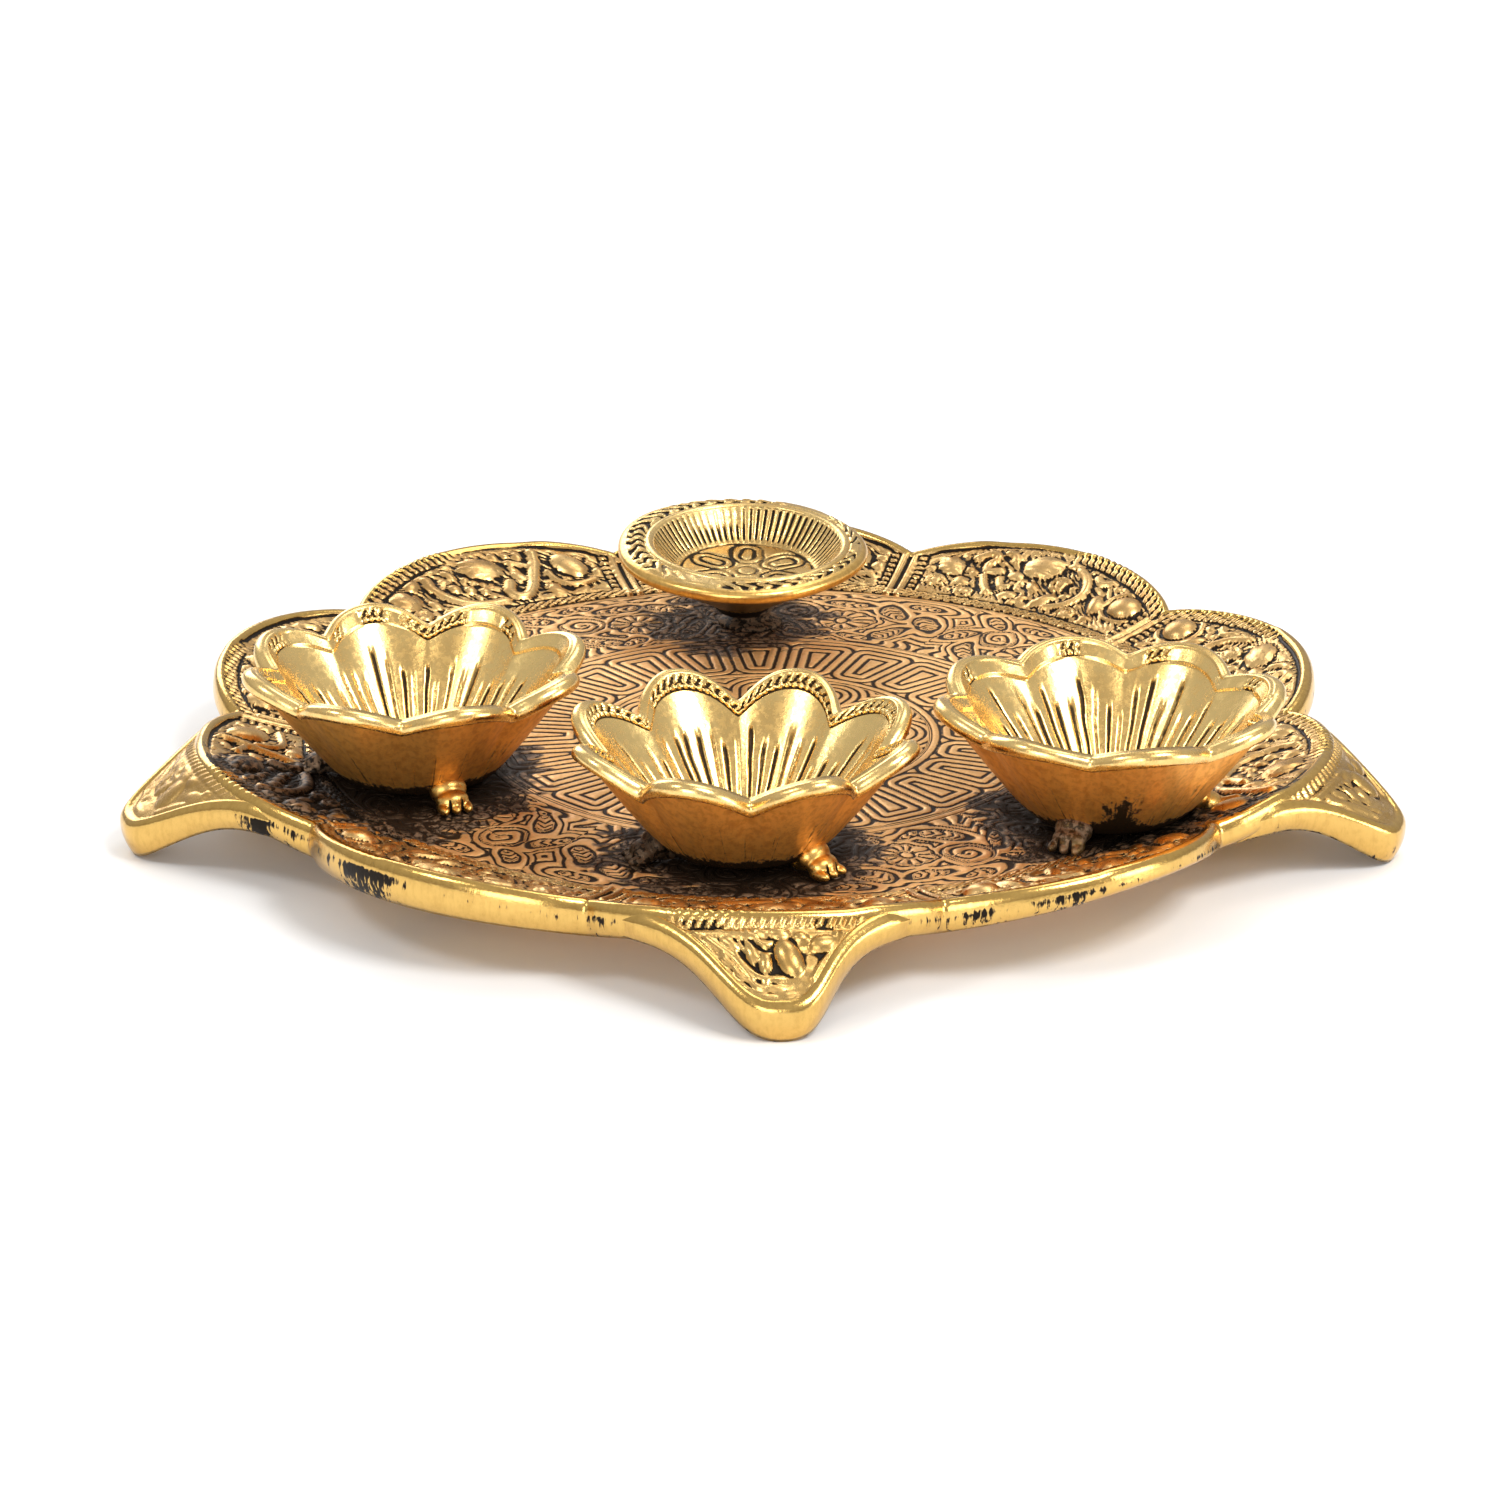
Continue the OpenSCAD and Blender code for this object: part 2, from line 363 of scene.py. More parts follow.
class Shade:
    """A node tree that is filled by expressions."""

    NOISE_DETAIL: ClassVar[float] = 3.0

    def __init__(self, tree: bpy.types.NodeTree) -> None:
        """Starts from an empty tree."""
        self.tree = tree
        tree.nodes.clear()

    def node(
        self,
        kind: str,
        settings: Mapping[str, object] | None = None,
        sockets: Mapping[Union[int, str], Value] | None = None,
        out: Union[int, str] = 0,
    ) -> Sock:
        """Adds a node.

        Args:
            kind: Blender's name of the node type.
            settings: Properties, set before the sockets.
            sockets: Values or links of the input sockets.
            out: Which output to return.

        Returns:
            The chosen output.
        """
        made = self.tree.nodes.new(kind)
        for name, value in (settings or {}).items():
            setattr(made, name, value)
        for name, value in (sockets or {}).items():
            if isinstance(value, Sock):
                self.tree.links.new(value.socket, made.inputs[name])
            else:
                made.inputs[name].default_value = value
        outputs = made.outputs
        return Sock(self, outputs[out]) if len(outputs) else Sock(self, None)

    def mark(self, name: str) -> Sock:
        """Returns a mesh mark as a value."""
        return self.node("ShaderNodeAttribute", {"attribute_name": name}, out="Fac")

    def noise(self, place: Sock, scale: float, roughness: float) -> Sock:
        """Returns noise from 0 to 1, with scale in cells per metre."""
        return self.node(
            "ShaderNodeTexNoise",
            {"noise_dimensions": "3D"},
            {"Vector": place, "Scale": scale, "Detail": self.NOISE_DETAIL, "Roughness": roughness},
        )

    def stretched(self, place: Sock, factors: Place) -> Sock:
        """Returns coordinates scaled along each axis."""
        return self.node("ShaderNodeVectorMath", {"operation": "MULTIPLY"}, {0: place, 1: factors})

    def blend(self, low: Value, high: Value, share: Value) -> Sock:
        """Returns a colour at a share of the way from low to high."""
        colours = [v if isinstance(v, Sock) else (*v, 1.0) for v in (low, high)]
        return self.node(
            "ShaderNodeMix",
            {"data_type": "RGBA"},
            {0: share, 6: colours[0], 7: colours[1]},
            out=2,
        )


class Cut(Enum):
    """How a surface says where its recesses are."""

    LINES = "contour"
    RELIEF = "recess"


@dataclass(frozen=True)
class AntiqueGold:
    """Gold plate that was blackened and then buffed, so that recesses stay dark."""

    title: str
    bright: Colour
    deep: Colour
    cut: Cut = Cut.RELIEF
    smooth: float = 0.26
    dull: float = 0.42
    grain: float = 900.0
    grain_depth: float = 0.05
    metal: float = 1.0
    edge: Colour = (0.74, 0.465, 0.135)
    edge_deep: Colour = (0.66, 0.405, 0.112)
    streak: float = 0.9
    edge_rough: float = 0.2
    edge_metal: float = 1.0
    # Black of the recesses and of the darkest patches, which include painted shade
    soot_and_shade: Colour = (0.016, 0.011, 0.007)
    glint: Colour = (0.26, 0.175, 0.11)

    CLOUD_SCALE: ClassVar[float] = 55.0
    RUN_SCALE: ClassVar[float] = 1000.0
    RUN_STRETCH: ClassVar[Place] = (1.0, 1.0, 0.2)
    CUT_DEPTH: ClassVar[float] = 0.26
    BLACK_DULL: ClassVar[float] = 0.18
    BLACK_METAL_LOSS: ClassVar[float] = 0.3
    SPECULAR: ClassVar[float] = 0.2
    PATCH_STEP: ClassVar[Point] = (0.42, 0.6)
    CORE_STEP: ClassVar[Point] = (0.8, 1.15)
    SPECK_STEP: ClassVar[Point] = (0.58, 0.42)
    TONE_STEP: ClassVar[Point] = (0.36, 0.68)
    BRUSH_STEP: ClassVar[Point] = (0.42, 0.62)
    SATIN_STEP: ClassVar[Point] = (0.3, 0.7)
    LINE_STEP: ClassVar[Point] = (0.11, 0.25)
    RELIEF_STEP: ClassVar[Point] = (0.35, 0.75)

    def material(self) -> bpy.types.Material:
        """Makes a material in this finish.

        Returns:
            The new material.
        """
        made = bpy.data.materials.new(self.title)
        made.use_nodes = True
        shade = Shade(made.node_tree)
        place = shade.node("ShaderNodeTexCoord", out="Object")
        cloud = shade.noise(place, self.CLOUD_SCALE, 0.6)
        grain = shade.noise(place, self.grain, 0.65)
        runs = shade.noise(shade.stretched(place, self.RUN_STRETCH), self.RUN_SCALE, 0.7)
        edge = shade.mark("edge")
        dark = self.recess(shade, grain)
        # worn is the patina mark plus noise: oxide, and painted shade round the vessels' feet, under the
        # crest and on the pedestal
        worn = shade.mark("patina") + (cloud - 0.5) * 0.5 + (grain - 0.5) * 0.25
        worn = worn + edge * (runs - 0.5) * self.streak
        patch = worn.step(*self.PATCH_STEP)
        tone = (cloud + (grain - 0.5) * 0.6).step(*self.TONE_STEP)
        metal = shade.blend(self.bright, self.deep, tone)
        brushed = (runs * 0.6 + grain * 0.4).step(*self.BRUSH_STEP)
        metal = shade.blend(metal, shade.blend(self.edge, self.edge_deep, brushed), edge)
        plain = shade.blend(metal, self.glint, patch)
        core = worn.step(*self.CORE_STEP)
        specks = patch * grain.step(*self.SPECK_STEP).most(edge)
        colour = shade.blend(plain, self.soot_and_shade, dark.most(core).most(specks))
        black = dark.most(patch)
        satin = self.smooth + (self.dull - self.smooth) * grain.step(*self.SATIN_STEP)
        rough = satin * (1.0 - edge) + edge * self.edge_rough
        normal = shade.node(
            "ShaderNodeBump",
            {},
            {
                "Strength": 1.0,
                "Distance": MM,
                "Height": grain * self.grain_depth - dark * self.CUT_DEPTH,
            },
        )
        metallic = self.metal - edge * (self.metal - self.edge_metal)
        surface = shade.node(
            "ShaderNodeBsdfPrincipled",
            {},
            {
                "Base Color": colour,
                "Metallic": (1.0 - black * self.BLACK_METAL_LOSS) * metallic,
                "Specular IOR Level": self.SPECULAR,
                "Roughness": rough + black * self.BLACK_DULL,
                "Normal": normal,
            },
        )
        shade.node("ShaderNodeOutputMaterial", {}, {"Surface": surface})
        return made

    def recess(self, shade: Shade, grain: Sock) -> Sock:
        """Returns 1 where the surface is a blackened recess."""
        if self.cut is Cut.LINES:
            away = shade.mark(self.cut.value).pingpong(0.5) + (grain - 0.5) * 0.22
            return 1.0 - away.step(*self.LINE_STEP)
        return (shade.mark(self.cut.value) + (grain - 0.5) * 0.5).step(*self.RELIEF_STEP)


class Finish(Enum):
    """The finishes of the thali's pieces."""

    FLOOR = AntiqueGold(
        "engraved floor gold",
        (0.93, 0.56, 0.235),
        (0.73, 0.405, 0.15),
        Cut.LINES,
        smooth=0.38,
        dull=0.52,
        metal=0.7,
        soot_and_shade=(0.03, 0.017, 0.009),
    )
    RIM = AntiqueGold(
        "relief rim gold",
        (0.8, 0.52, 0.21),
        (0.57, 0.33, 0.115),
        smooth=0.24,
        streak=1.9,
    )
    LEAF = AntiqueGold(
        "leaf foot gold",
        (0.74, 0.47, 0.165),
        (0.5, 0.295, 0.088),
        smooth=0.22,
        dull=0.38,
        streak=1.5,
    )
    BOWL = AntiqueGold(
        "petal bowl gold",
        (0.96, 0.68, 0.27),
        (0.85, 0.55, 0.19),
        smooth=0.18,
        dull=0.32,
        grain_depth=0.035,
        # Amber outer wall: partly the gold's own tone, partly a painted reflection of the gold plate below
        edge=(0.9, 0.44, 0.1),
        edge_deep=(0.7, 0.31, 0.062),
        edge_rough=0.4,
        edge_metal=0.75,
        soot_and_shade=(0.034, 0.02, 0.009),
    )
    LEG = AntiqueGold("claw leg gold", (0.88, 0.56, 0.16), (0.64, 0.37, 0.1), smooth=0.25)
    DISH = AntiqueGold(
        "lamp dish gold",
        (0.86, 0.6, 0.24),
        (0.68, 0.43, 0.15),
        smooth=0.22,
        dull=0.4,
        edge=(0.84, 0.52, 0.15),
        edge_deep=(0.7, 0.41, 0.11),
        edge_rough=0.28,
    )
    # Near black: oxide, with painted shade under the lamp dish
    BASE = AntiqueGold(
        "dark pedestal, oxide and painted shade",
        (0.07, 0.045, 0.025),
        (0.03, 0.02, 0.014),
        smooth=0.4,
        dull=0.6,
    )


@dataclass(frozen=True)
class Dome:
    """A raised bead or a shell, with an optional ring round it."""

    x: float
    y: float
    wide: float
    deep: float
    rise: float
    turn: float = 0.0
    veins: int = 0
    ringed: bool = False

    VEIN_DEPTH: ClassVar[float] = 0.28
    RING_AT: ClassVar[float] = 1.15
    RING_HALF: ClassVar[float] = 0.6
    RING_RISE: ClassVar[float] = 0.8
    RING_ROOM: ClassVar[float] = 1.7

    def height(self, x: Array, y: Array) -> Array:
        """Works out the motif's height over its ground.

        Args:
            x: Places across the drawing.
            y: Places up the drawing.

        Returns:
            Heights, 0 outside the motif.
        """
        c, s = math.cos(self.turn), math.sin(self.turn)
        u = (c * (x - self.x) + s * (y - self.y)) / self.wide
        v = (c * (y - self.y) - s * (x - self.x)) / self.deep
        away = np.hypot(u, v)
        body = self.rise * ridge(away, 1.0)
        if self.veins:
            fan = np.arctan2(u, v + 1.15)
            vein = self.VEIN_DEPTH * (body > 0) * strokes(fan, 1.6 / self.veins, 0.35)
            body = body - vein * ease(0.15, 0.7, away)
        if self.ringed:
            gap = (away - 1.0) * min(self.wide, self.deep)
            body = np.maximum(body, self.RING_RISE * ridge(gap - self.RING_AT, self.RING_HALF))
        return body

    def rooms(self) -> list[Circle]:
        """Lists the room that the motif takes.

        Returns:
            Circles that cover the motif.
        """
        spare = self.deep - self.wide
        c, s = math.cos(self.turn), math.sin(self.turn)
        dx, dy = (-s, c) if spare > 0 else (c, s)
        size = min(self.wide, self.deep) + (self.RING_ROOM if self.ringed else 0.0)
        shifts = [k * abs(spare) for k in (-1, 0, 1)]
        return [(self.x + shift * dx, self.y + shift * dy, size) for shift in shifts]


@dataclass(frozen=True)
class Vine:
    """A raised stem through points, which may curl up at its end."""

    path: tuple[Point, ...]
    half: float
    rise: float

    STEPS: ClassVar[int] = 6

    def line(self) -> list[Point]:
        """Runs a smooth curve through the path.

        Returns:
            Points along the stem's middle.
        """
        knots = np.array([self.path[0], *self.path, self.path[-1]])
        steps = np.linspace(0.0, 1.0, self.STEPS, endpoint=False)[:, None]
        line: list[Point] = []
        for a, b, c, d in zip(knots, knots[1:], knots[2:], knots[3:]):
            cubic = 2 * b + (c - a) * steps + (2 * a - 5 * b + 4 * c - d) * steps**2
            line.extend((cubic + (3 * b - a - 3 * c + d) * steps**3) / 2)
        return [*line, self.path[-1]]

    def height(self, x: Array, y: Array) -> Array:
        """Works out the motif's height over its ground.

        Args:
            x: Places across the drawing.
            y: Places up the drawing.

        Returns:
            Heights, 0 outside the motif.
        """
        line = self.line()
        away = np.full(np.shape(x), 1e3)
        for a, b in zip(line, line[1:]):
            along = np.subtract(b, a)
            length = max(float(along @ along), 1e-9)
            share = np.clip(((x - a[0]) * along[0] + (y - a[1]) * along[1]) / length, 0.0, 1.0)
            away = np.minimum(away, np.hypot(x - a[0] - share * along[0], y - a[1] - share * along[1]))
        return self.rise * ridge(away, self.half)

    def rooms(self) -> list[Circle]:
        """Returns circles that cover the motif."""
        return [(x, y, self.half) for x, y in self.line()]


@dataclass(frozen=True)
class Curl:
    """A raised stem that winds in to a bead."""

    x: float
    y: float
    size: float
    rise: float
    turn: float
    hand: int

    OUTER: ClassVar[float] = 0.86
    WIND: ClassVar[float] = 0.42
    STEM: ClassVar[float] = 0.2
    LAPS: ClassVar[float] = 1.4
    BEAD_AT: ClassVar[float] = 0.1
    BEAD_HALF: ClassVar[float] = 0.3

    def height(self, x: Array, y: Array) -> Array:
        """Works out the motif's height over its ground.

        Args:
            x: Places across the drawing.
            y: Places up the drawing.

        Returns:
            Heights, 0 outside the motif.
        """
        u, v = x - self.x, y - self.y
        away = np.hypot(u, v)
        swing = ((self.hand * np.arctan2(v, u) - self.turn) / (2 * math.pi)) % 1.0
        body = ridge(away - self.BEAD_AT * self.size, self.BEAD_HALF * self.size)
        for lap in (0, 1):
            run = swing + lap
            stem = ridge(away - self.size * (self.OUTER - self.WIND * run), self.STEM * self.size)
            body = np.maximum(body, stem * (run < self.LAPS))
        return self.rise * body

    def rooms(self) -> list[Circle]:
        """Returns circles that cover the motif."""
        return [(self.x, self.y, self.size)]


Motif = Union[Dome, Vine, Curl]


@dataclass(frozen=True)
class LobeDrawing:
    """The large motifs of a lobe, and the side that its crest is hatched on.

    Places are measured from the middle of the lobe's inner edge.
    """

    hatched: float
    motifs: tuple[Motif, ...]


class LobePattern(Enum):
    """The two drawings that take turns round the rim."""

    SCROLL = LobeDrawing(
        -1.0,
        (
            Dome(1.3, 15.4, 3.2, 4.7, 1.7, 1.1, veins=5),
            Dome(18.2, 10.6, 2.8, 4.2, 1.7, 0.38),
            Dome(-18.6, 10.2, 3.2, 3.0, 1.6, 0.4, veins=3),
            Vine(
                (
                    (13.2, 16.4),
                    (12.2, 13.8),
                    (10.4, 10.8),
                    (8.2, 7.4),
                    (5.8, 5.2),
                    (3.7, 5.4),
                    (3.3, 7.4),
                    (4.7, 9.8),
                ),
                1.25,
                1.4,
            ),
            Vine(((7.6, 15.6), (9.2, 14.4), (10.4, 13.4)), 0.8, 1.0),
            Vine(((13.2, 10.4), (13.5, 7.4), (15.4, 5.3), (18.4, 4.6), (20.8, 4.6)), 0.85, 1.1),
            Vine(
                (
                    (-10.6, 15.0),
                    (-11.0, 12.8),
                    (-10.2, 10.4),
                    (-8.4, 8.0),
                    (-5.6, 6.2),
                    (-2.2, 5.2),
                    (0.8, 5.0),
                ),
                1.2,
                1.2,
            ),
            Dome(-7.0, 11.9, 1.4, 1.4, 1.1),
            Dome(-4.2, 10.6, 1.5, 1.4, 1.1),
            Dome(-1.4, 9.2, 1.4, 1.3, 1.1),
            Dome(-3.4, 13.6, 1.1, 1.0, 0.9),
            Dome(-5.8, 15.6, 1.1, 1.8, 1.0, 0.3),
            Dome(-14.2, 14.2, 2.1, 1.3, 1.0, 0.5),
            Dome(-13.4, 8.0, 1.2, 1.9, 1.0, 0.2),
            Dome(22.6, 6.6, 1.6, 1.5, 1.0),
        ),
    )
    SHELL = LobeDrawing(
        1.0,
        (
            Dome(20.0, 9.0, 3.3, 3.2, 2.2, ringed=True),
            Dome(-1.9, 15.6, 3.1, 4.3, 1.8, -1.15, veins=4),
            Dome(-19.4, 10.0, 2.6, 3.2, 1.5, 1.2, veins=5),
            Vine(
                ((-15.8, 13.8), (-13.8, 16.0), (-12.0, 15.2), (-12.9, 12.8), (-11.8, 11.2), (-9.6, 12.2)),
                1.0,
                1.2,
            ),
            Vine(((-11.0, 17.2), (-9.4, 17.0), (-8.0, 15.4)), 0.95, 1.0),
            Vine(
                ((5.4, 17.0), (7.4, 15.6), (8.9, 13.6), (9.8, 11.0), (9.5, 8.6), (7.7, 6.2), (5.0, 4.6)),
                1.05,
                1.2,
            ),
            Vine(((9.8, 16.0), (11.4, 14.6), (13.6, 15.2)), 0.9, 1.0),
            Dome(3.2, 6.8, 1.8, 3.1, 1.3, -0.5, veins=3),
            Curl(3.6, 12.0, 2.5, 1.2, 0.5, 1),
            Dome(14.0, 8.4, 1.5, 3.3, 1.4, 0.35),
            Dome(-4.2, 6.0, 2.0, 1.4, 1.1, 0.3),
            Vine(((-12.0, 9.6), (-10.2, 7.2), (-8.4, 5.4)), 0.9, 1.1),
            Vine(((-8.6, 10.2), (-7.0, 8.0), (-5.8, 8.6)), 0.85, 1.0),
            Dome(-1.2, 10.0, 1.2, 1.9, 1.0, 0.8),
            Dome(-15.2, 6.8, 1.3, 2.0, 0.9, 1.0),
        ),
    )


@dataclass
class LobeOrnament:
    """The raised ornament of one lobe: a drawing with small leaves and beads packed into its gaps."""

    plate: Plate
    drawing: LobeDrawing
    seed: int
    tries: int = 260
    gap: float = 0.05

    SIZES: ClassVar[tuple[float, ...]] = (1.8, 1.3, 0.95, 0.7)
    FIELD_X: ClassVar[Point] = (-27.0, 27.0)
    FIELD_Y: ClassVar[Point] = (3.2, 19.8)
    CREST_GAP: ClassVar[float] = 4.5
    FLOOR_GAP: ClassVar[float] = 3.2
    VALLEY_GAP: ClassVar[float] = 3.8
    OWN_SHARE: ClassVar[float] = 0.6

    def motifs(self) -> list[Motif]:
        """Packs small motifs into the gaps of the drawing.

        Returns:
            The drawing's motifs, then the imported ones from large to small.
        """
        chance = np.random.default_rng(self.seed)
        found = list(self.drawing.motifs)
        taken = [room for motif in found for room in motif.rooms()]
        for size in self.SIZES:
            for _ in range(self.tries):
                x, y = chance.uniform(*self.FIELD_X), chance.uniform(*self.FIELD_Y)
                if self.clear(x, y, size, taken):
                    taken.append((x, y, size))
                    found.append(self.pick(chance, x, y, size))
        return found

    def clear(self, x: float, y: float, size: float, taken: Sequence[Circle]) -> bool:
        """Tests whether a motif fits without touching a border or another motif.

        Args:
            x: Its middle, across the lobe.
            y: Its middle, out from the lobe's inner edge.
            size: Its radius.
            taken: Circles that other motifs take.

        Returns:
            True if it fits.
        """
        plate = self.plate
        r, angle = math.hypot(x, y + plate.floor_r), math.atan2(x, y + plate.floor_r)
        room = self.OWN_SHARE * size
        borders = (
            (float(plate.rim_r(angle)) - r, self.CREST_GAP),
            (r - plate.floor_r, self.FLOOR_GAP),
            (r * math.sin(math.pi / plate.lobes - abs(angle)), self.VALLEY_GAP),
        )
        if any(away < gap + room for away, gap in borders):
            return False
        return all(math.hypot(x - a, y - b) > size + c + self.gap for a, b, c in taken)

    @staticmethod
    def pick(chance: np.random.Generator, x: float, y: float, size: float) -> Motif:
        """Picks a motif of a kind that suits its size.

        Args:
            chance: Source of the random draws.
            x: Its middle, across the lobe.
            y: Its middle, out from the lobe's inner edge.
            size: Its radius.

        Returns:
            The motif.
        """
        turn = chance.uniform(0.0, 2 * math.pi)
        if size > 1.5 and chance.random() < 0.6:
            return Curl(x, y, 1.25 * size, 1.0, turn, int(chance.choice((-1, 1))))
        if size > 0.9:
            return Dome(x, y, 1.55 * size, 1.0 * size, 0.5 + 0.3 * size, turn, veins=3 if size > 1.5 else 0)
        return Dome(x, y, 1.35 * size, 1.15 * size, 0.7, turn)


@dataclass
class Patch:
    """A round dark place on the plate, from the plate's axis: oxide that the buff didn't reach, with
    painted shade by a vessel's foot.
    """

    x: float
    y: float
    reach: float
    depth: float = 1.1


@dataclass
class SootAndShade:
    """Black patches of the plate, round its vessels and elsewhere: oxide, with painted shade round the
    vessels' feet.
    """

    patches: Sequence[Patch]

    FADE: ClassVar[float] = 7.0
    CORE: ClassVar[float] = 10.0

    def at(self, x: Array, y: Array) -> Array:
        """Works out how black the plate is.

        Args:
            x: Places along x, from the plate's axis.
            y: Places along y, from the plate's axis.

        Returns:
            Values from 0 for bare gold to 1 or more for black.
        """
        black = np.zeros(np.shape(x))
        wander = 7.0 * (NOISE.at(x, 1.6 * y, 6.0) - 0.5) + 6.0 * (NOISE.at(0.5 * x, 1.5 * y, 1.4) - 0.5)
        for patch in self.patches:
            away = np.hypot(x - patch.x, y - patch.y) + wander
            share = ease(patch.reach + self.FADE, patch.reach - self.CORE, away)
            black = np.maximum(black, patch.depth * share)
        return black


@dataclass
class Plate:
    """The cast plate: an engraved floor inside a ten-lobed relief rim."""

    lobe_r: float
    lobe_z: float
    soot_and_shade: SootAndShade
    valley_r: float = 94.0
    valley_z: float = 13.4
    floor_r: float = 78.0
    floor_z: float = 10.0
    floor_t: float = 2.8
    edge_t: float = 5.0
    crest: float = 1.6
    lobes: int = 10
    soft: float = 0.06
    side: int = 310
    rim_rows: int = 62
    rim_power: float = 1.4
    rim_relief: float = 0.85
    groove: float = 0.28
    dent: float = 0.16

    ROSETTE_R: ClassVar[float] = 12.6
    INNER_RINGS: ClassVar[Point] = (29.4, 31.2)
    OUTER_RINGS: ClassVar[Point] = (49.2, 51.0)
    RING_GAP: ClassVar[float] = 1.8
    BAND_R: ClassVar[float] = 77.3
    INNER_PETALS: ClassVar[int] = 12
    INNER_SPAN: ClassVar[Point] = (17.2, 22.6)
    INNER_HALF: ClassVar[float] = 4.3
    INNER_GAP: ClassVar[float] = 1.6
    OUTER_PETALS: ClassVar[int] = 24
    OUTER_DEGREES: ClassVar[float] = 1.2
    OUTER_MIDDLE: ClassVar[float] = 39.4
    OUTER_HALF: ClassVar[float] = 6.2
    OUTER_MARGIN: ClassVar[float] = 2.0
    OUTER_CORNER: ClassVar[float] = 1.0
    OUTER_GAP: ClassVar[float] = 2.0
    GARLANDS: ClassVar[int] = 10
    GARLAND_DEGREES: ClassVar[float] = 292.0
    GARLAND_GAP: ClassVar[float] = 1.6
    DAISY_Y: ClassVar[float] = 62.6
    SPIRAL: ClassVar[Point] = (10.2, 65.4)
    # Middle x and y, lean, half length and half width of each leaf of a garland
    LEAVES: ClassVar[tuple[tuple[float, float, float, float, float], ...]] = (
        (-8.4, 69.0, 0.6, 4.2, 2.4),
        (-9.6, 57.4, -0.7, 4.6, 1.9),
        (9.4, 56.6, 0.8, 4.6, 1.9),
        (0.6, 71.8, 1.57, 4.4, 1.5),
        (-15.4, 63.6, 0.2, 4.4, 2.2),
        (17.0, 61.4, -0.3, 4.0, 1.8),
        (-13.8, 72.6, 1.3, 3.4, 1.5),
        (8.2, 74.0, 1.7, 3.2, 1.3),
        (17.4, 70.6, 1.1, 3.2, 1.5),
        (-3.6, 54.2, 1.1, 3.0, 1.2),
        (4.0, 54.2, -1.1, 3.0, 1.2),
    )
    LOBE_SEED: ClassVar[int] = 500
    LOBE_SHIFT: ClassVar[float] = 90.0
    ROPE_RISE: ClassVar[float] = 0.6
    LADDER_RISE: ClassVar[float] = 0.55
    SEAM_RISE: ClassVar[float] = 0.9
    HATCH_RISE: ClassVar[float] = 0.6
    ROLL_RISE: ClassVar[float] = 0.8
    BEND_ROWS: ClassVar[int] = 7
    CREST_ROWS: ClassVar[int] = 5
    # Painted shade on the edge face just under the crest, row by row
    CREST_SHADOW: ClassVar[Place] = (0.15, 0.25, 0.08)
    # Shares of the rim's width, and depths under its face, of the rows of its underside
    UNDER_SHARES: ClassVar[Place] = (0.75, 0.35, 0.0)
    UNDER_DEPTHS: ClassVar[Place] = (3.6, 2.8, 2.8)
    # Angle, spread and amount of two changes in the edge face, and of the stains on it
    TALL_EDGE: ClassVar[Place] = (-2.2, 0.3, 1.5)
    THIN_EDGE: ClassVar[Place] = (-0.82, 0.26, 1.7)
    WALL_STAINS: ClassVar[tuple[Place, ...]] = (
        (-2.64, 0.1, 0.62),
        (-2.28, 0.08, 0.62),
        (-1.86, 0.05, 0.35),
        (-1.08, 0.12, 0.32),
        (-0.72, 0.06, 0.3),
    )
    # Drawing of each lobe and the hand it is drawn with, anticlockwise from the back
    PLAN: ClassVar[tuple[tuple[LobePattern, float], ...]] = (
        (LobePattern.SCROLL, 1.0),
        (LobePattern.SCROLL, 1.0),
        (LobePattern.SHELL, -1.0),
        (LobePattern.SCROLL, 1.0),
        (LobePattern.SHELL, 1.0),
        (LobePattern.SCROLL, -1.0),
        (LobePattern.SHELL, 1.0),
        (LobePattern.SCROLL, 1.0),
        (LobePattern.SHELL, -1.0),
        (LobePattern.SHELL, 1.0),
    )

    def rim_r(self, angle: Array) -> Array:
        """Returns the outline's radius at angles from a lobe's middle."""
        return mix(self.valley_r, self.lobe_r, swell(angle, self.lobes, self.soft))

    def rim_z(self, angle: Array) -> Array:
        """Returns the crest's height at angles from a lobe's middle."""
        return mix(self.valley_z, self.lobe_z, swell(angle, self.lobes, self.soft))

    def edge_deep(self, turn: Array) -> Array:
        """Works out the height of the hand-filed edge face, tall at the front left and thin at the right.

        Args:
            turn: Angles round the plate's axis.

        Returns:
            The face's height at each angle.
        """
        tall_at, tall_spread, more = self.TALL_EDGE
        thin_at, thin_spread, less = self.THIN_EDGE
        tall = more * bump(turn, tall_at, tall_spread)
        thin = less * bump(turn, thin_at, thin_spread)
        return self.edge_t + tall - thin

    def floor_disc(self) -> tuple[Array, Array]:
        """Fills the floor's disc with a square grid of points.

        Returns:
            The grids of x and y.
        """
        line = np.linspace(-1.0, 1.0, self.side)
        a, b = np.meshgrid(line, line, indexing="ij")
        wide = np.abs(a) > np.abs(b)
        span = np.where(wide, a, b)
        safe = np.where(np.abs(span) < 1e-9, 1.0, span)
        turn = np.where(wide, math.pi / 4 * b / safe, math.pi / 2 - math.pi / 4 * a / safe)
        return self.floor_r * span * np.cos(turn), self.floor_r * span * np.sin(turn)

    def floor_loop(self) -> Array:
        """Walks round the edge of the floor's grid.

        Returns:
            Indices of the edge's points, anticlockwise.
        """
        n = self.side
        index = np.arange(n * n).reshape(n, n)
        return np.concatenate([index[:-1, 0], index[-1, :-1], index[:0:-1, -1], index[0, :0:-1]])

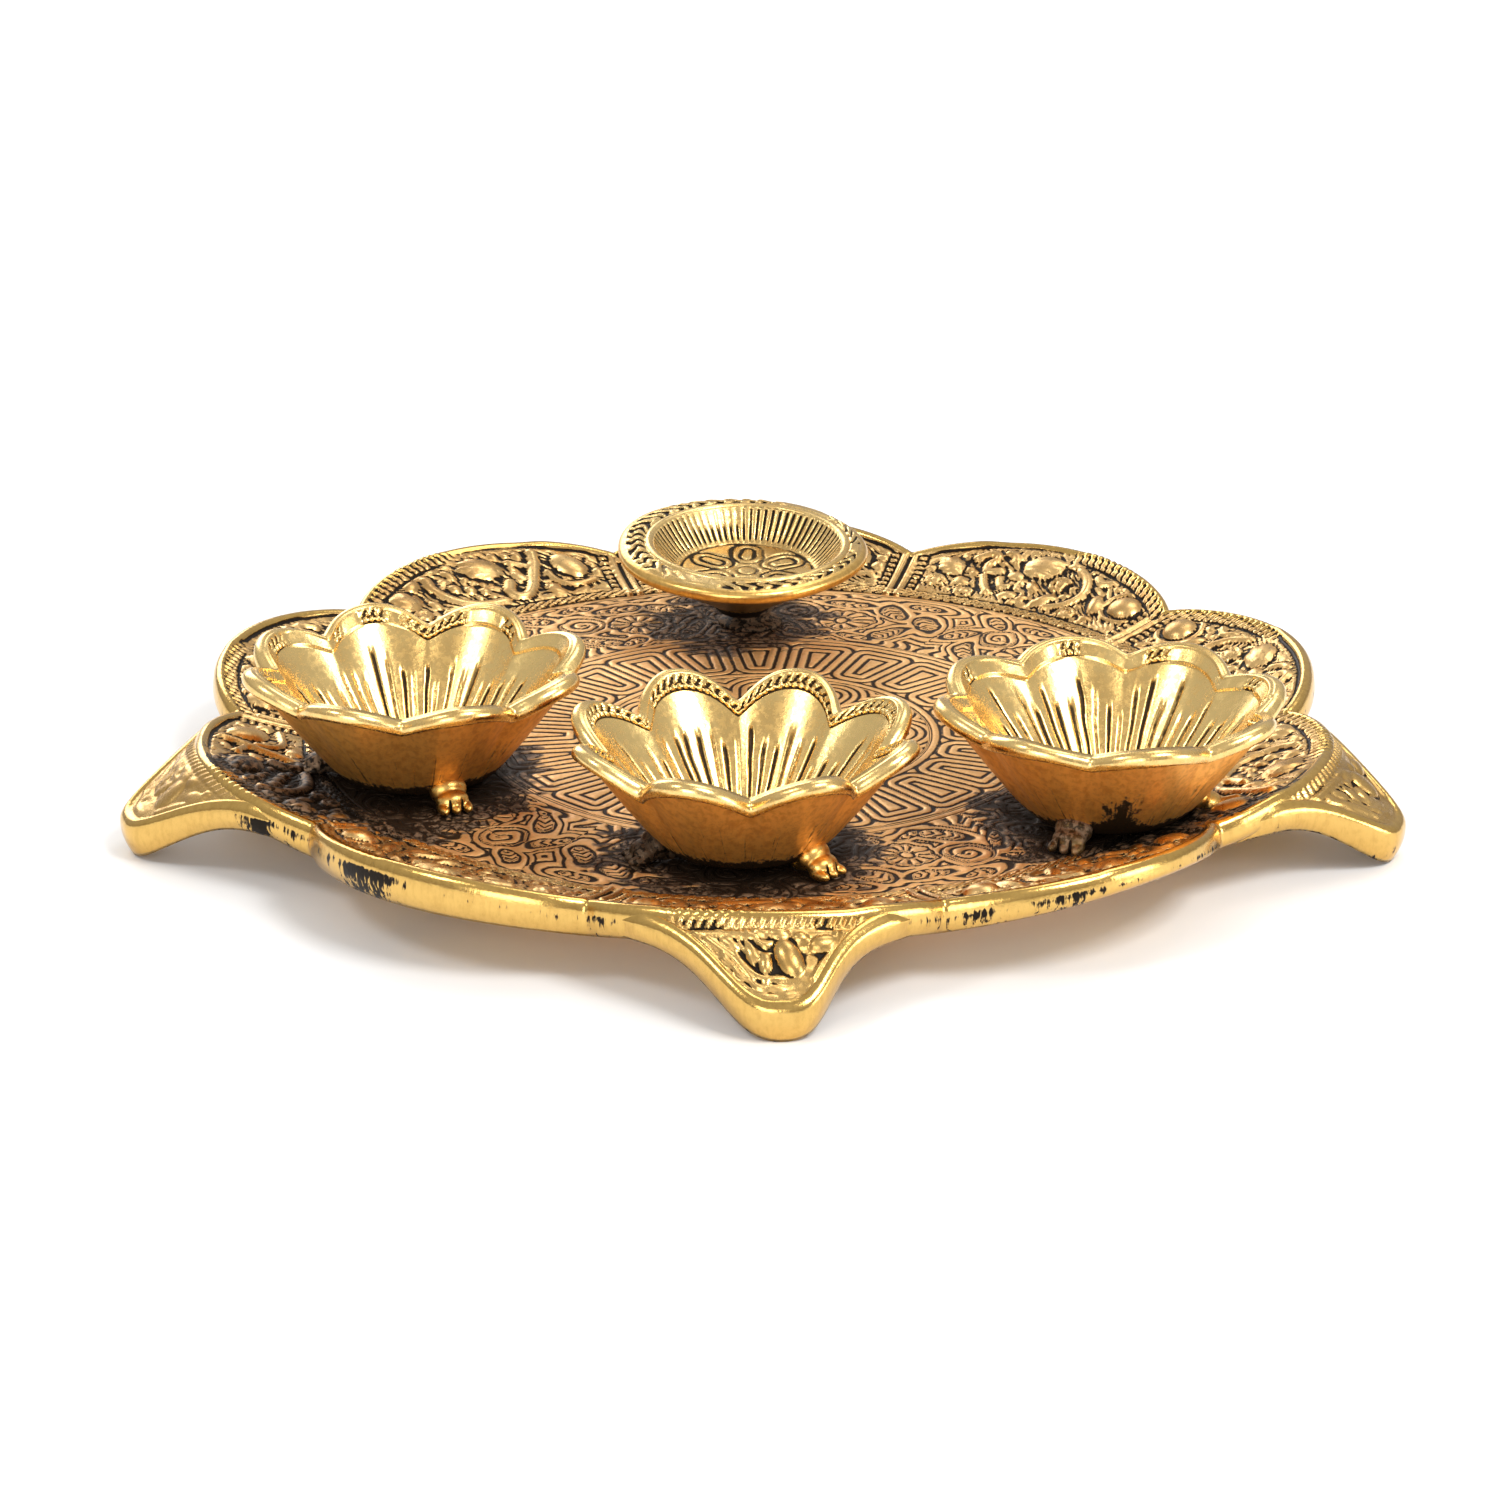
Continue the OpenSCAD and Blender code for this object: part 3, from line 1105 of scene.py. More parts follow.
    def contour(self, x: Array, y: Array) -> Array:
        """Draws the floor's engraving as a field whose whole numbers are its lines.

        Args:
            x: Places along x, from the plate's axis.
            y: Places along y, from the plate's axis.

        Returns:
            The field's values.
        """
        r, turn = np.hypot(x, y), np.arctan2(y, x)
        rosette = r / 2.1 + 0.45 * np.cos(8 * turn) * ease(2.0, 6.0, r) * ease(12.0, 9.0, r)
        lines = np.where(r < self.ROSETTE_R, rosette, self.inner_petals(r, turn))
        bands = ((self.INNER_RINGS, self.outer_petals), (self.OUTER_RINGS, self.garland))
        for (near, far), pattern in bands:
            lines = np.where(r > near, (r - near) / self.RING_GAP, lines)
            lines = np.where(r > far, pattern(r, turn), lines)
        return np.where(r > self.BAND_R, 0.5, lines)

    @staticmethod
    def sector(turn: Array, count: int, start: float = 0.0) -> Array:
        """Returns the angle from the middle of the nearest of count sectors."""
        width = 2 * math.pi / count
        return (turn - start + width / 2) % width - width / 2

    def inner_petals(self, r: Array, turn: Array) -> Array:
        """Draws the twelve nested petals round the middle.

        Args:
            r: Radii.
            turn: Angles round the plate's axis.

        Returns:
            The field's values, as contour gives them.
        """
        local = self.sector(turn, self.INNER_PETALS)
        x, y = r * np.sin(local), r * np.cos(local)
        away = np.hypot(x, y - np.clip(y, *self.INNER_SPAN))
        return (away - self.INNER_HALF) / self.INNER_GAP

    def outer_petals(self, r: Array, turn: Array) -> Array:
        """Draws the twenty-four petals between the double rings.

        Args:
            r: Radii.
            turn: Angles round the plate's axis.

        Returns:
            The field's values, as contour gives them.
        """
        half, corner = math.pi / self.OUTER_PETALS, self.OUTER_CORNER
        local = self.sector(turn, self.OUTER_PETALS, math.radians(self.OUTER_DEGREES))
        x, y = r * np.sin(local), r * np.cos(local)
        side = np.abs(x) - (y * math.tan(half) - self.OUTER_MARGIN) + corner
        end = np.abs(y - self.OUTER_MIDDLE) - self.OUTER_HALF + corner
        outside = np.hypot(np.maximum(side, 0.0), np.maximum(end, 0.0))
        return (outside + np.minimum(np.maximum(side, end), 0.0) - corner) / self.OUTER_GAP

    def garland(self, r: Array, turn: Array) -> Array:
        """Draws the daisies, spirals and leaves of the outer band.

        Args:
            r: Radii.
            turn: Angles round the plate's axis.

        Returns:
            The field's values, as contour gives them.
        """
        local = self.sector(turn, self.GARLANDS, math.radians(self.GARLAND_DEGREES))
        x, y = r * np.sin(local), r * np.cos(local)
        wobble = NOISE.at(r * np.cos(turn), r * np.sin(turn), 5.0) - 0.5
        quiver = NOISE.at(r * np.cos(turn) + 200.0, r * np.sin(turn), 2.2) - 0.5
        x, y = x + 1.3 * wobble + 0.9 * quiver, y - 1.3 * wobble + 0.9 * quiver
        rho, around = np.hypot(x, y - self.DAISY_Y), np.arctan2(y - self.DAISY_Y, x)
        eye_x, eye_y = x - self.SPIRAL[0], y - self.SPIRAL[1]
        eye_rho, eye = np.hypot(eye_x, eye_y), np.arctan2(eye_y, eye_x)
        shapes = [rho - 5.0 - 0.5 * np.abs(np.cos(6 * around)), eye_rho - 4.2]
        leafy, veins = np.zeros(np.shape(x), dtype=bool), np.zeros(np.shape(x))
        for px, py, lean, long, wide in self.LEAVES:
            u = (x - px) * math.cos(lean) - (y - py) * math.sin(lean)
            v = (x - px) * math.sin(lean) + (y - py) * math.cos(lean)
            q = np.hypot(u / wide, v / long)
            shapes.append((q - 1.0) * wide * mix(1.0, 1.25, np.clip(q - 1.0, 0.0, 1.0)))
            inside = q < 0.8
            veins = np.where(inside, (v + 0.9 * np.abs(u)) / self.GARLAND_GAP, veins)
            leafy = leafy | inside
        lines = np.where(leafy, veins, np.minimum.reduce(shapes) / self.GARLAND_GAP)
        daisy = np.where(rho < 2.0, (rho - 1.5) / 1.9, 12 * around / (2 * math.pi) + 0.5)
        lines = np.where(rho < 4.7, daisy, lines)
        return np.where(eye_rho < 3.9, eye_rho / 1.8 - eye / (2 * math.pi), lines)

    def build_floor(self, origin: Vector) -> bpy.types.Object:
        """Builds the engraved floor as a closed disc.

        Args:
            origin: Foot of the plate's axis, in metres.

        Returns:
            The linked piece.
        """
        x, y = self.floor_disc()
        lines = self.contour(x, y)
        r = np.hypot(x, y)
        cut = 0.5 + 0.5 * np.cos(2 * math.pi * lines)
        calm = ease(77.9, 77.0, r)
        dents = self.dent * (NOISE.at(x, y, 13.0) - 0.5) * ease(self.floor_r, 70.0, r)
        z = self.floor_z - self.groove * cut * calm + dents
        under_z = self.floor_z - self.floor_t
        skin = Skin()
        marks = {"contour": lines, "patina": self.soot_and_shade.at(x, y)}
        first = skin.add(np.stack([x, y, z], axis=-1), marks)
        skin.weave(first, self.side, self.side, close=False, ring=False)
        loop = self.floor_loop()
        edge = np.stack([x.flat[loop], y.flat[loop], np.full(loop.size, under_z)], axis=-1)
        flat = {"contour": 0.5, "patina": 0.4}
        low = skin.add(edge, flat)
        ahead = np.roll(np.arange(loop.size), -1)
        walls = np.stack([loop, low + np.arange(loop.size), low + ahead, loop[ahead]], axis=-1)
        skin.faces.extend(walls.tolist())
        centre = skin.add(np.array([[0.0, 0.0, under_z]]), flat)
        skin.fan(centre, list(range(low, low + loop.size))[::-1])
        return skin.piece("plate_floor", origin)

    def from_crest(self, r: Array, angle: Array) -> Array:
        """Works out how far points are from the rim's outline.

        Args:
            r: Radii.
            angle: Angles from the lobe's middle.

        Returns:
            Distances that allow for the outline's slope.
        """
        step = 1e-3
        slope = (self.rim_r(angle + step) - self.rim_r(angle - step)) / (2 * step * r)
        return (self.rim_r(angle) - r) / np.hypot(1.0, np.clip(slope, -1.5, 1.5))

    def ground(self, x: Array, y: Array, lobe: int) -> Array:
        """Works out the chased ground between a lobe's motifs.

        Args:
            x: Places across the lobe.
            y: Places out from the lobe's inner edge.
            lobe: Number of the lobe.

        Returns:
            Heights over the plain rim.
        """
        across = x + self.LOBE_SHIFT * lobe
        grain = NOISE.at(across, y, 1.4)
        chased = strokes(0.8 * x + 0.6 * y + 5.0 * NOISE.at(across, y + 20.0, 4.0), 1.3, 0.55)
        return 0.3 * grain + 0.22 * chased

    def relief(self, r: Array, angle: Array, lobe: int) -> Array:
        """Works out one lobe's ornament.

        Args:
            r: Radii.
            angle: Angles from the lobe's middle.
            lobe: Number of the lobe, which sets its drawing and its small differences.

        Returns:
            Heights over the plain rim.
        """
        pattern, hand = self.PLAN[lobe]
        drawing = pattern.value
        x, y = -hand * r * np.sin(angle), r * np.cos(angle) - self.floor_r
        edge = self.from_crest(r, angle)
        inner = r - self.floor_r
        valley = r * np.sin(math.pi / self.lobes - np.abs(angle))
        height = self.ground(x, y, lobe)
        drift = 0.8 * (NOISE.at(x + self.LOBE_SHIFT * lobe, y + 40.0, 7.0) - 0.5)
        for motif in LobeOrnament(self, drawing, self.LOBE_SEED + lobe).motifs():
            height = np.maximum(height, motif.height(x + drift, y - drift))
        along = angle * self.rim_r(angle)
        hatched = ease(-2.0, 7.0, drawing.hatched * x)
        inside = ease(mix(2.9, 4.5, hatched), mix(3.4, 5.0, hatched), edge)
        inside = inside * ease(3.1, 3.5, inner) * ease(3.7, 4.2, valley)
        height = height * inside
        rope = strokes(angle * self.floor_r + 1.8 * inner, 2.1, 0.62)
        rope = rope * ease(0.3, 0.7, inner) * ease(2.8, 2.4, inner)
        ladder = strokes(r, 1.5, 0.55) * ease(1.9, 2.2, valley) * ease(3.6, 3.3, valley)
        hatch = strokes(along + 0.35 * hand * edge, 1.6, 0.6) * ease(4.3, 4.0, edge)
        height = np.maximum(height, self.ROPE_RISE * rope)
        height = np.maximum(height, self.LADDER_RISE * ladder * ease(2.6, 3.0, inner))
        height = np.maximum(height, self.SEAM_RISE * ridge(valley - 1.0, 0.75))
        height = height * mix(1.0, ease(4.2, 4.6, edge), hatched)
        height = np.maximum(height, self.HATCH_RISE * hatch * hatched)
        rolled = self.ROLL_RISE * ease(mix(2.7, 1.9, hatched), mix(2.1, 1.4, hatched), edge)
        if lobe % 2:
            rolled = rolled * mix(0.3, 1.0, ease(7.0, 11.0, np.abs(np.degrees(angle))))
        return np.maximum(height, rolled)

    def wall_patina(self, turn: Array, rows: int) -> Array:
        """Works out how black the edge face and the underside are, with painted shade just under the crest.

        Args:
            turn: Angles round the plate's axis.
            rows: Number of rows, from the crest round to the underside.

        Returns:
            Values from 0 for bare gold to 1 or more for black.
        """
        low = np.linspace(0.0, 1.0, rows)[:, None]
        black = 0.04 + 0.4 * (NOISE.at(turn * 95.0, 4.0 * low + 0.0 * turn, 6.0) - 0.5)
        for at, spread, much in self.WALL_STAINS:
            black = black + much * bump(turn, at, spread)
        crest_end = self.CREST_ROWS + len(self.CREST_SHADOW)
        fade, shadow = np.zeros((rows, 1)), np.zeros((rows, 1))
        fade[self.CREST_ROWS :] = 1.0
        shadow[self.CREST_ROWS : crest_end, 0] = self.CREST_SHADOW
        return fade * (black + shadow)

    def build_rim(self, origin: Vector) -> bpy.types.Object:
        """Builds the relief rim as a closed ring round the floor.

        Args:
            origin: Foot of the plate's axis, in metres.

        Returns:
            The linked piece.
        """
        x, y = self.floor_disc()
        loop = self.floor_loop()
        turn = np.arctan2(y.flat[loop], x.flat[loop])
        local = self.sector(turn, self.lobes, math.pi / 2)
        lobe = np.round((turn - math.pi / 2 - local) / (2 * math.pi / self.lobes)).astype(int) % self.lobes
        crest_r, crest_z = self.rim_r(local), self.rim_z(local)
        share = np.linspace(0.0, 1.0, self.rim_rows)[:, None]
        r = mix(self.floor_r, crest_r - self.crest, share)
        z = mix(self.floor_z, crest_z, share**self.rim_power)
        height = np.zeros_like(r)
        for number in range(self.lobes):
            pick = lobe == number
            height[:, pick] = self.relief(r[:, pick], np.broadcast_to(local, r.shape)[:, pick], number)
        cavity = blurred(height, 2, 2) - height
        calm = ease(0.0, 0.012, share)
        dr, dz = np.gradient(r, axis=0), np.gradient(z, axis=0)
        size = np.hypot(dr, dz)
        lift = self.rim_relief * height * calm
        top = (r - lift * dz / size, z + lift * dr / size)
        recess = ease(0.03, 0.22, cavity) * ease(0.7, 0.3, height)
        raised = lift[-1]
        down = np.linspace(0.0, 1.0, self.BEND_ROWS)[1:, None]
        bend = down * math.pi / 2
        round_r = crest_r - self.crest + self.crest * np.sin(bend)
        round_z = crest_z + raised - (self.crest + raised) * (1.0 - np.cos(bend))
        wall_r = crest_r - 0.9 * down**2 + 0.25 * np.sin(math.pi * down)
        wall_z = crest_z - mix(self.crest, self.edge_deep(turn), down)
        back = np.array(self.UNDER_SHARES)[:, None]
        depth = np.array(self.UNDER_DEPTHS)[:, None]
        under_r = mix(self.floor_r, crest_r - self.crest, back)
        under_z = mix(self.floor_z, crest_z, back**self.rim_power) - depth
        rows_r = np.concatenate([top[0], round_r, wall_r, under_r])
        rows_z = np.concatenate([top[1], round_z, wall_z, under_z])
        points = polar(rows_r, turn[None, :], rows_z)
        others = len(rows_r) - self.rim_rows
        face = points[: self.rim_rows]
        black = self.soot_and_shade.at(face[..., 0], face[..., 1]) - 0.4 * ease(0.25, 0.8, height)
        patina = np.concatenate([black, self.wall_patina(turn, others)])
        plain = np.zeros((others, turn.size))
        edge = np.concatenate([ease(0.93, 0.96, share) + 0.0 * recess, plain + 1.0])
        marks = {"recess": np.concatenate([recess, plain]), "patina": patina, "edge": edge}
        skin = Skin()
        first = skin.add(points, marks)
        skin.weave(first, len(rows_r), turn.size, close=True, ring=True)
        return skin.piece("plate_rim", origin)


LEAF_MOTIFS: tuple[Motif, ...] = (
    Dome(2.8, 8.6, 2.3, 3.4, 1.6, -0.3),
    Dome(8.6, 6.2, 2.6, 1.5, 1.1, -0.2),
    Dome(1.0, 5.0, 2.1, 1.4, 0.9, 0.2),
    Dome(-1.2, 9.2, 1.3, 2.1, 1.1, 0.2),
    Dome(-3.6, 8.2, 1.3, 2.5, 1.0, -0.3, veins=2),
    Dome(-6.4, 6.0, 1.1, 2.1, 0.9, -0.9),
    Dome(4.8, 4.9, 1.5, 1.0, 0.8),
    Dome(-1.8, 12.6, 0.9, 1.4, 0.7, 0.3),
    Vine(((-11.4, 4.4), (-8.0, 4.5), (-5.0, 4.7), (-2.2, 5.0)), 0.8, 0.7),
    Vine(((-9.4, 5.6), (-7.6, 7.2), (-5.8, 8.8), (-4.4, 11.0), (-3.4, 12.8)), 0.8, 0.8),
    Vine(((10.6, 4.4), (9.4, 7.8), (7.2, 10.2), (5.8, 12.4)), 0.8, 0.7),
)


@dataclass
class LeafFoot:
    """A leaf that runs out of a lobe's edge, folds down and stands on its tip.

    The fields half, spread, stain_at, stain_wide and tip_wide are degrees round the plate's axis.
    """

    plate: Plate
    name: str
    turn: float
    lean: float
    bold: float
    stain: float
    stain_at: float = 13.4
    stain_wide: float = 2.6
    reach: float = 13.0
    tip_z: float = 5.5
    half: float = 5.8
    spread: float = 15.6
    dish: float = 0.9
    undercut: float = 1.5
    tip_t: float = 5.9
    tip_round: float = 0.6
    tip_lift: float = 1.0
    tip_wide: float = 2.4
    fold: float = 1.25
    arc: float = 1.22
    seat: float = 0.6
    root: float = 2.4
    columns: int = 220
    rows: int = 56
    face_rows: int = 9
    under_rows: int = 14

    def share(self, angle: Array) -> Array:
        """Works out how far the leaf reaches.

        Args:
            angle: Angles from its midrib.

        Returns:
            Shares of its full reach, 0 to 1.
        """
        bell = 1.0 / (1.0 + np.abs(np.degrees(angle) / self.half) ** 3)
        least = 1.0 / (1.0 + (self.spread / self.half) ** 3)
        return np.clip((bell - least) / (1.0 - least), 0.0, None)

    def relief(self, side: Array, down: Array, edge: Array) -> tuple[Array, Array]:
        """Works out the ornament of the leaf's upper face.

        Args:
            side: Distances from the midrib.
            down: Distances from the root.
            edge: Distances from the leaf's outline.

        Returns:
            The height and the blackness.
        """
        chance = np.random.default_rng(int(math.degrees(self.turn)) + 900)
        twist = NOISE.at(side + 70 * self.turn, down, 2.3)
        folds = 0.5 + 0.5 * np.sin(edge * 2 * math.pi / 2.0 + 5.0 * twist)
        height = 0.5 * twist + 0.45 * folds * ease(3.0, -1.0, side)
        for motif in LEAF_MOTIFS:
            dx, dy = chance.uniform(-0.5, 0.5, 2)
            height = np.maximum(height, motif.height(side - dx, down - dy))
        height = height * ease(1.7, 2.6, edge) * ease(3.4, 4.0, down)
        hatch = strokes(side + 0.5 * down, 1.6, 0.55) * ease(1.2, 1.6, down)
        hatch = hatch * ease(3.4, 3.0, down) * ease(2.0, 2.6, edge)
        height = self.bold * np.maximum(height, 0.45 * hatch)
        cavity = blurred(height, 3, 3) - height
        pits = ease(0.45, 0.7, NOISE.at(side + 30.0, down, 3.0) + 0.3 * ease(8.0, 12.0, down))
        black = ease(0.08, 0.3, cavity) * mix(0.3, 1.0, pits) * ease(1.9, 2.3, edge)
        return np.maximum(height, 0.6 * ridge(edge - 1.0, 1.1)), black

    def build(self, origin: Vector) -> bpy.types.Object:
        """Builds the leaf as a closed solid, rooted inside the rim's edge.

        Args:
            origin: Foot of the plate's axis, in metres.

        Returns:
            The linked piece.
        """
        plate = self.plate
        half = math.radians(self.spread)
        angle = np.linspace(-half, half, self.columns)[None, :]
        long = self.share(angle)
        along = np.linspace(0.0, 1.0, self.rows)[:, None]
        crest_r, crest_z = plate.rim_r(angle), plate.rim_z(angle)
        hide = 0.5 * (1.0 - ease(0.0, 0.05, long))
        edge_r = crest_r + self.reach * long - hide
        edge_z = mix(crest_z - plate.crest, self.tip_z, long)
        r = mix(crest_r - plate.crest, edge_r, along)
        z = mix(crest_z, edge_z, along**self.fold) - self.dish * long * np.sin(math.pi * along) ** 2
        length = self.arc * (edge_r - crest_r + plate.crest)
        slope = np.gradient(edge_r[0], angle[0] * plate.lobe_r)[None, :]
        away = (1.0 - along) * length / np.hypot(1.0, slope)
        height, black = self.relief(r * np.sin(angle), along * length, away)
        grow = ease(0.0, 0.08, long)
        r_top, z_top = r + 0.45 * height * grow, z + 0.8 * height * grow
        low_r = crest_r - self.seat + (self.reach - self.undercut + self.seat) * long - hide
        seat_z = crest_z - plate.edge_t + self.seat
        fall = mix(seat_z, self.tip_z - self.tip_t, long)
        low_z = self.tip_round * np.log1p(np.exp(fall / self.tip_round))
        corner = 1.0 - bump(np.degrees(angle), 0.0, self.tip_wide)
        low_z = low_z - low_z.min() + self.tip_lift * corner * long
        face = np.linspace(0.0, 1.0, self.face_rows)[1:-1, None]
        face_r = mix(r_top[-1:], low_r, face**1.3) + 0.4 * np.sin(math.pi * face) * grow
        face_z = mix(z_top[-1:], low_z, face)
        back = np.linspace(1.0, 0.0, self.under_rows)[:, None]
        root_r = crest_r - self.root
        root_top, root_low = crest_z - plate.crest - self.seat, crest_z - plate.edge_t + 2 * self.seat
        under_r = mix(crest_r - self.seat - hide, low_r, back)
        under_z = np.maximum(0.0, mix(seat_z, low_z, back))
        rows_r = np.concatenate([root_r, r_top, face_r, under_r, root_r])
        rows_z = np.concatenate([root_top, z_top, face_z, under_z, root_low])
        sway = np.concatenate([0 * long, along * long, face * 0 + long, back * long, 0 * long])
        points = polar(rows_r, angle + self.lean * sway + self.turn, rows_z)
        rest = 0.6 * (NOISE.at(angle * 100 + 40 * self.turn, 0 * angle, 5.0) - 0.5)
        rest = rest + self.stain * bump(np.degrees(angle), self.stain_at, self.stain_wide)
        trim = ease(2.3, 1.7, away)
        root, front, under = 0 * root_r, 0 * face_r, 0 * under_r
        marks = {
            "recess": np.concatenate([root, black, front, under, root]),
            "patina": np.concatenate([root, 0 * r_top, rest + front, 0.5 + under, root]),
            "edge": np.concatenate([root, trim, 1.0 + front, 1.0 + under, root]),
        }
        skin = Skin()
        first = skin.add(points, marks)
        rows = len(rows_r)
        skin.weave(first, rows, self.columns, close=True, ring=False)
        for column, order in ((0, 1), (self.columns - 1, -1)):
            rim = [first + row * self.columns + column for row in range(rows)]
            skin.faces.append(rim[::order])
        return skin.piece(self.name, origin)


@dataclass
class PetalBowl:
    """A bowl of eight petals, fluted inside, smooth outside and beaded along its rim."""

    name: str
    petal_z: float
    turn: float
    wear: float
    seed: int
    flute_top: Point
    notch_r: float
    notch_z: float
    stain: float
    petal_r: float = 30.2
    base_r: float = 14.0
    wall: float = 2.0
    inner_z: float = 4.0
    outer_z: float = 2.0
    petals: int = 8
    soft: float = 0.28
    flutes: int = 7
    columns: int = 560
    lip: float = 1.4
    band_at: float = 0.84
    band_wide: float = 4.4
    bead: float = 1.35
    tooth: float = 1.75
    flare: float = 0.9

    IN_ROWS: ClassVar[int] = 46
    BAND_ROWS: ClassVar[int] = 15
    LIP_ROWS: ClassVar[int] = 13
    OUT_ROWS: ClassVar[int] = 38
    OUT_TOP: ClassVar[float] = 0.9
    LIP_DEGREES: ClassVar[Point] = (-35.0, 150.0)
    FLOOR_SHARES: ClassVar[tuple[float, ...]] = (0.04, 0.25, 0.5, 0.72, 0.88)
    FOOT_SHARES: ClassVar[Place] = (0.96, 0.6, 0.05)
    FOOT_HEIGHTS: ClassVar[Place] = (-0.1, 0.0, 0.0)
    FRONT: ClassVar[float] = 1.5 * math.pi
    STAIN_SPREAD: ClassVar[float] = 0.24

    def wall_point(self, angle: Array, share: Array, inset: Array, bottom: float) -> tuple[Array, Array]:
        """Works out where a wall stands.

        Args:
            angle: Angles from a petal's middle.
            share: Shares of the wall's height.
            inset: Distances in from the outline.
            bottom: Height of the wall's foot.

        Returns:
            The radius and the height.
        """
        rise = swell(angle, self.petals, self.soft)
        rim_r, rim_z = mix(self.notch_r, self.petal_r, rise), mix(self.notch_z, self.petal_z, rise)
        return mix(self.base_r, rim_r, share**self.flare) - inset, mix(bottom, rim_z, share)

    def build(self, origin: Vector) -> bpy.types.Object:
        """Builds the bowl as a closed solid.

        Args:
            origin: Foot of the bowl's axis on the plate, in metres.

        Returns:
            The linked piece.
        """
        turn = full_turn(self.columns)
        local = turn - self.turn
        up = np.linspace(0.0, self.band_at, self.IN_ROWS)[:, None]
        plain_r, in_z = self.wall_point(local, up, self.wall, self.inner_z)
        groove = self.flute(local, up)
        in_r = plain_r + 0.45 * groove
        spread = np.array(self.FLOOR_SHARES)[:, None]
        floor_r = in_r[0] * spread
        floor_z = self.inner_z - 0.4 * (1.0 - spread**2) + 0.0 * turn
        rim_r, rim_z = self.wall_point(local, np.array([[1.0]]), 0.0, self.inner_z)
        dents = 0.35 * (NOISE.at(local * self.petal_r + 50 * self.seed, 0 * local, 6.0) - 0.5)
        bend = np.radians(np.linspace(*self.LIP_DEGREES, self.LIP_ROWS))[:, None]
        lip = self.lip + dents
        lip_r, lip_z = rim_r - self.lip + lip * np.sin(bend), rim_z - self.lip + lip * np.cos(bend)
        across = np.linspace(0.0, 1.0, self.BAND_ROWS)[1:-1, None]
        raised, gaps = self.band(local, across)
        band_r = mix(plain_r[-1:], lip_r[:1], across) - 0.6 * raised
        band_z = mix(in_z[-1:], lip_z[:1], across) + 0.75 * raised
        down = np.linspace(self.OUT_TOP, 0.0, self.OUT_ROWS)[:, None]
        ripple = 0.14 * (NOISE.at(local * 34 + 11 * self.seed, down * 4 + 0 * local, 1.5) - 0.5)
        out_r, out_z = self.wall_point(local, down, 0.4 - ripple * ease(0.0, 0.1, down), self.outer_z)
        streak = NOISE.at(local * 60 + 17 * self.seed, down * 1.8 + 0 * local, 1.0)
        drips = 0.6 * ease(0.6, 0.85, streak) * ease(0.85, 0.3, down)
        foot_r = self.base_r * np.array(self.FOOT_SHARES)[:, None] + 0.0 * turn
        foot_z = self.outer_z + np.array(self.FOOT_HEIGHTS)[:, None] + 0.0 * turn
        rows_r = np.concatenate([floor_r, in_r, band_r, lip_r, out_r, foot_r])
        rows_z = np.concatenate([floor_z, in_z, band_z, lip_z, out_z, foot_z])
        plain = [0 * rows for rows in (floor_r, in_r, band_r, lip_r)]
        front = bump(turn, self.FRONT, self.STAIN_SPREAD) * ease(0.62, 0.3, down)
        # Darker towards the outer wall's foot, and a stain low on its front
        below = ease(0.24, 0.0, down) * 0.75 + self.stain * front * mix(0.5, 1.3, streak)
        dark = [0.25 + 0 * floor_r, 0.95 * groove, gaps, 0 * lip_r, drips, 0 * foot_r]
        marks = {
            "recess": np.concatenate(dark),
            "patina": np.concatenate([*plain, below, 1.0 + 0 * foot_r]),
            # The edge mark gives the outer wall its amber, partly a painted reflection of the gold plate
            "edge": np.concatenate([*plain, ease(self.OUT_TOP, 0.86, down) + 0 * turn, 1.0 + 0 * foot_r]),
        }
        return ring_skin(polar(rows_r, turn, rows_z), marks).piece(self.name, origin)

    def flute(self, local: Array, up: Array) -> Array:
        """Works out the grooves that run up the petals.

        Args:
            local: Angles from a petal's middle.
            up: Shares of the wall's height.

        Returns:
            Depths, 0 to 1.
        """
        chance = np.random.default_rng(self.seed)
        count = self.petals * self.flutes
        number = np.floor(local / (2 * math.pi) * count).astype(int) % count
        top = chance.uniform(*self.flute_top, count)[number]
        depth = chance.uniform(0.45, 1.0, count)[number]
        stray = chance.uniform(-0.16, 0.16, count)[number]
        bent = 0.14 * (NOISE.at(local * 20 + 3 * self.seed, up * 9, 1.5) - 0.5)
        phase = np.abs((local / (2 * math.pi) * count) % 1.0 - 0.5 + bent + stray)
        return ease(0.22, 0.07, phase) * ease(top, top - 0.16, up) * ease(0.0, 0.05, up) * depth

    def band(self, local: Array, across: Array) -> tuple[Array, Array]:
        """Works out the toothed and beaded band under the rim.

        Args:
            local: Angles from a petal's middle.
            across: Shares of the band's width, from below.

        Returns:
            The height and the blackness.
        """
        inner = across * self.band_wide
        along = local * self.petal_r
        kept = ease(self.wear - 0.2, self.wear + 0.2, NOISE.at(local * 7 + 5 * self.seed, 0 * across, 1.0))
        beads = ridge(np.hypot(((along / self.bead + 0.5) % 1.0 - 0.5) * self.bead, inner - 1.1), 0.66)
        teeth = strokes(along + 0.5 * inner, self.tooth, 0.6) * ease(1.75, 2.0, inner)
        smooth = ease(3.3, 3.6, inner)
        sharp = np.maximum(0.6 * beads, 0.5 * teeth) * kept
        rubbed = 0.5 * np.maximum(smooth, 0.8 * (1.0 - kept))
        open_ground = (1.0 - ease(0.1, 0.4, beads)) * (1.0 - teeth) * (1.0 - smooth)
        return np.maximum(sharp, rubbed), 0.9 * open_ground * ease(0.0, 0.3, inner) * kept


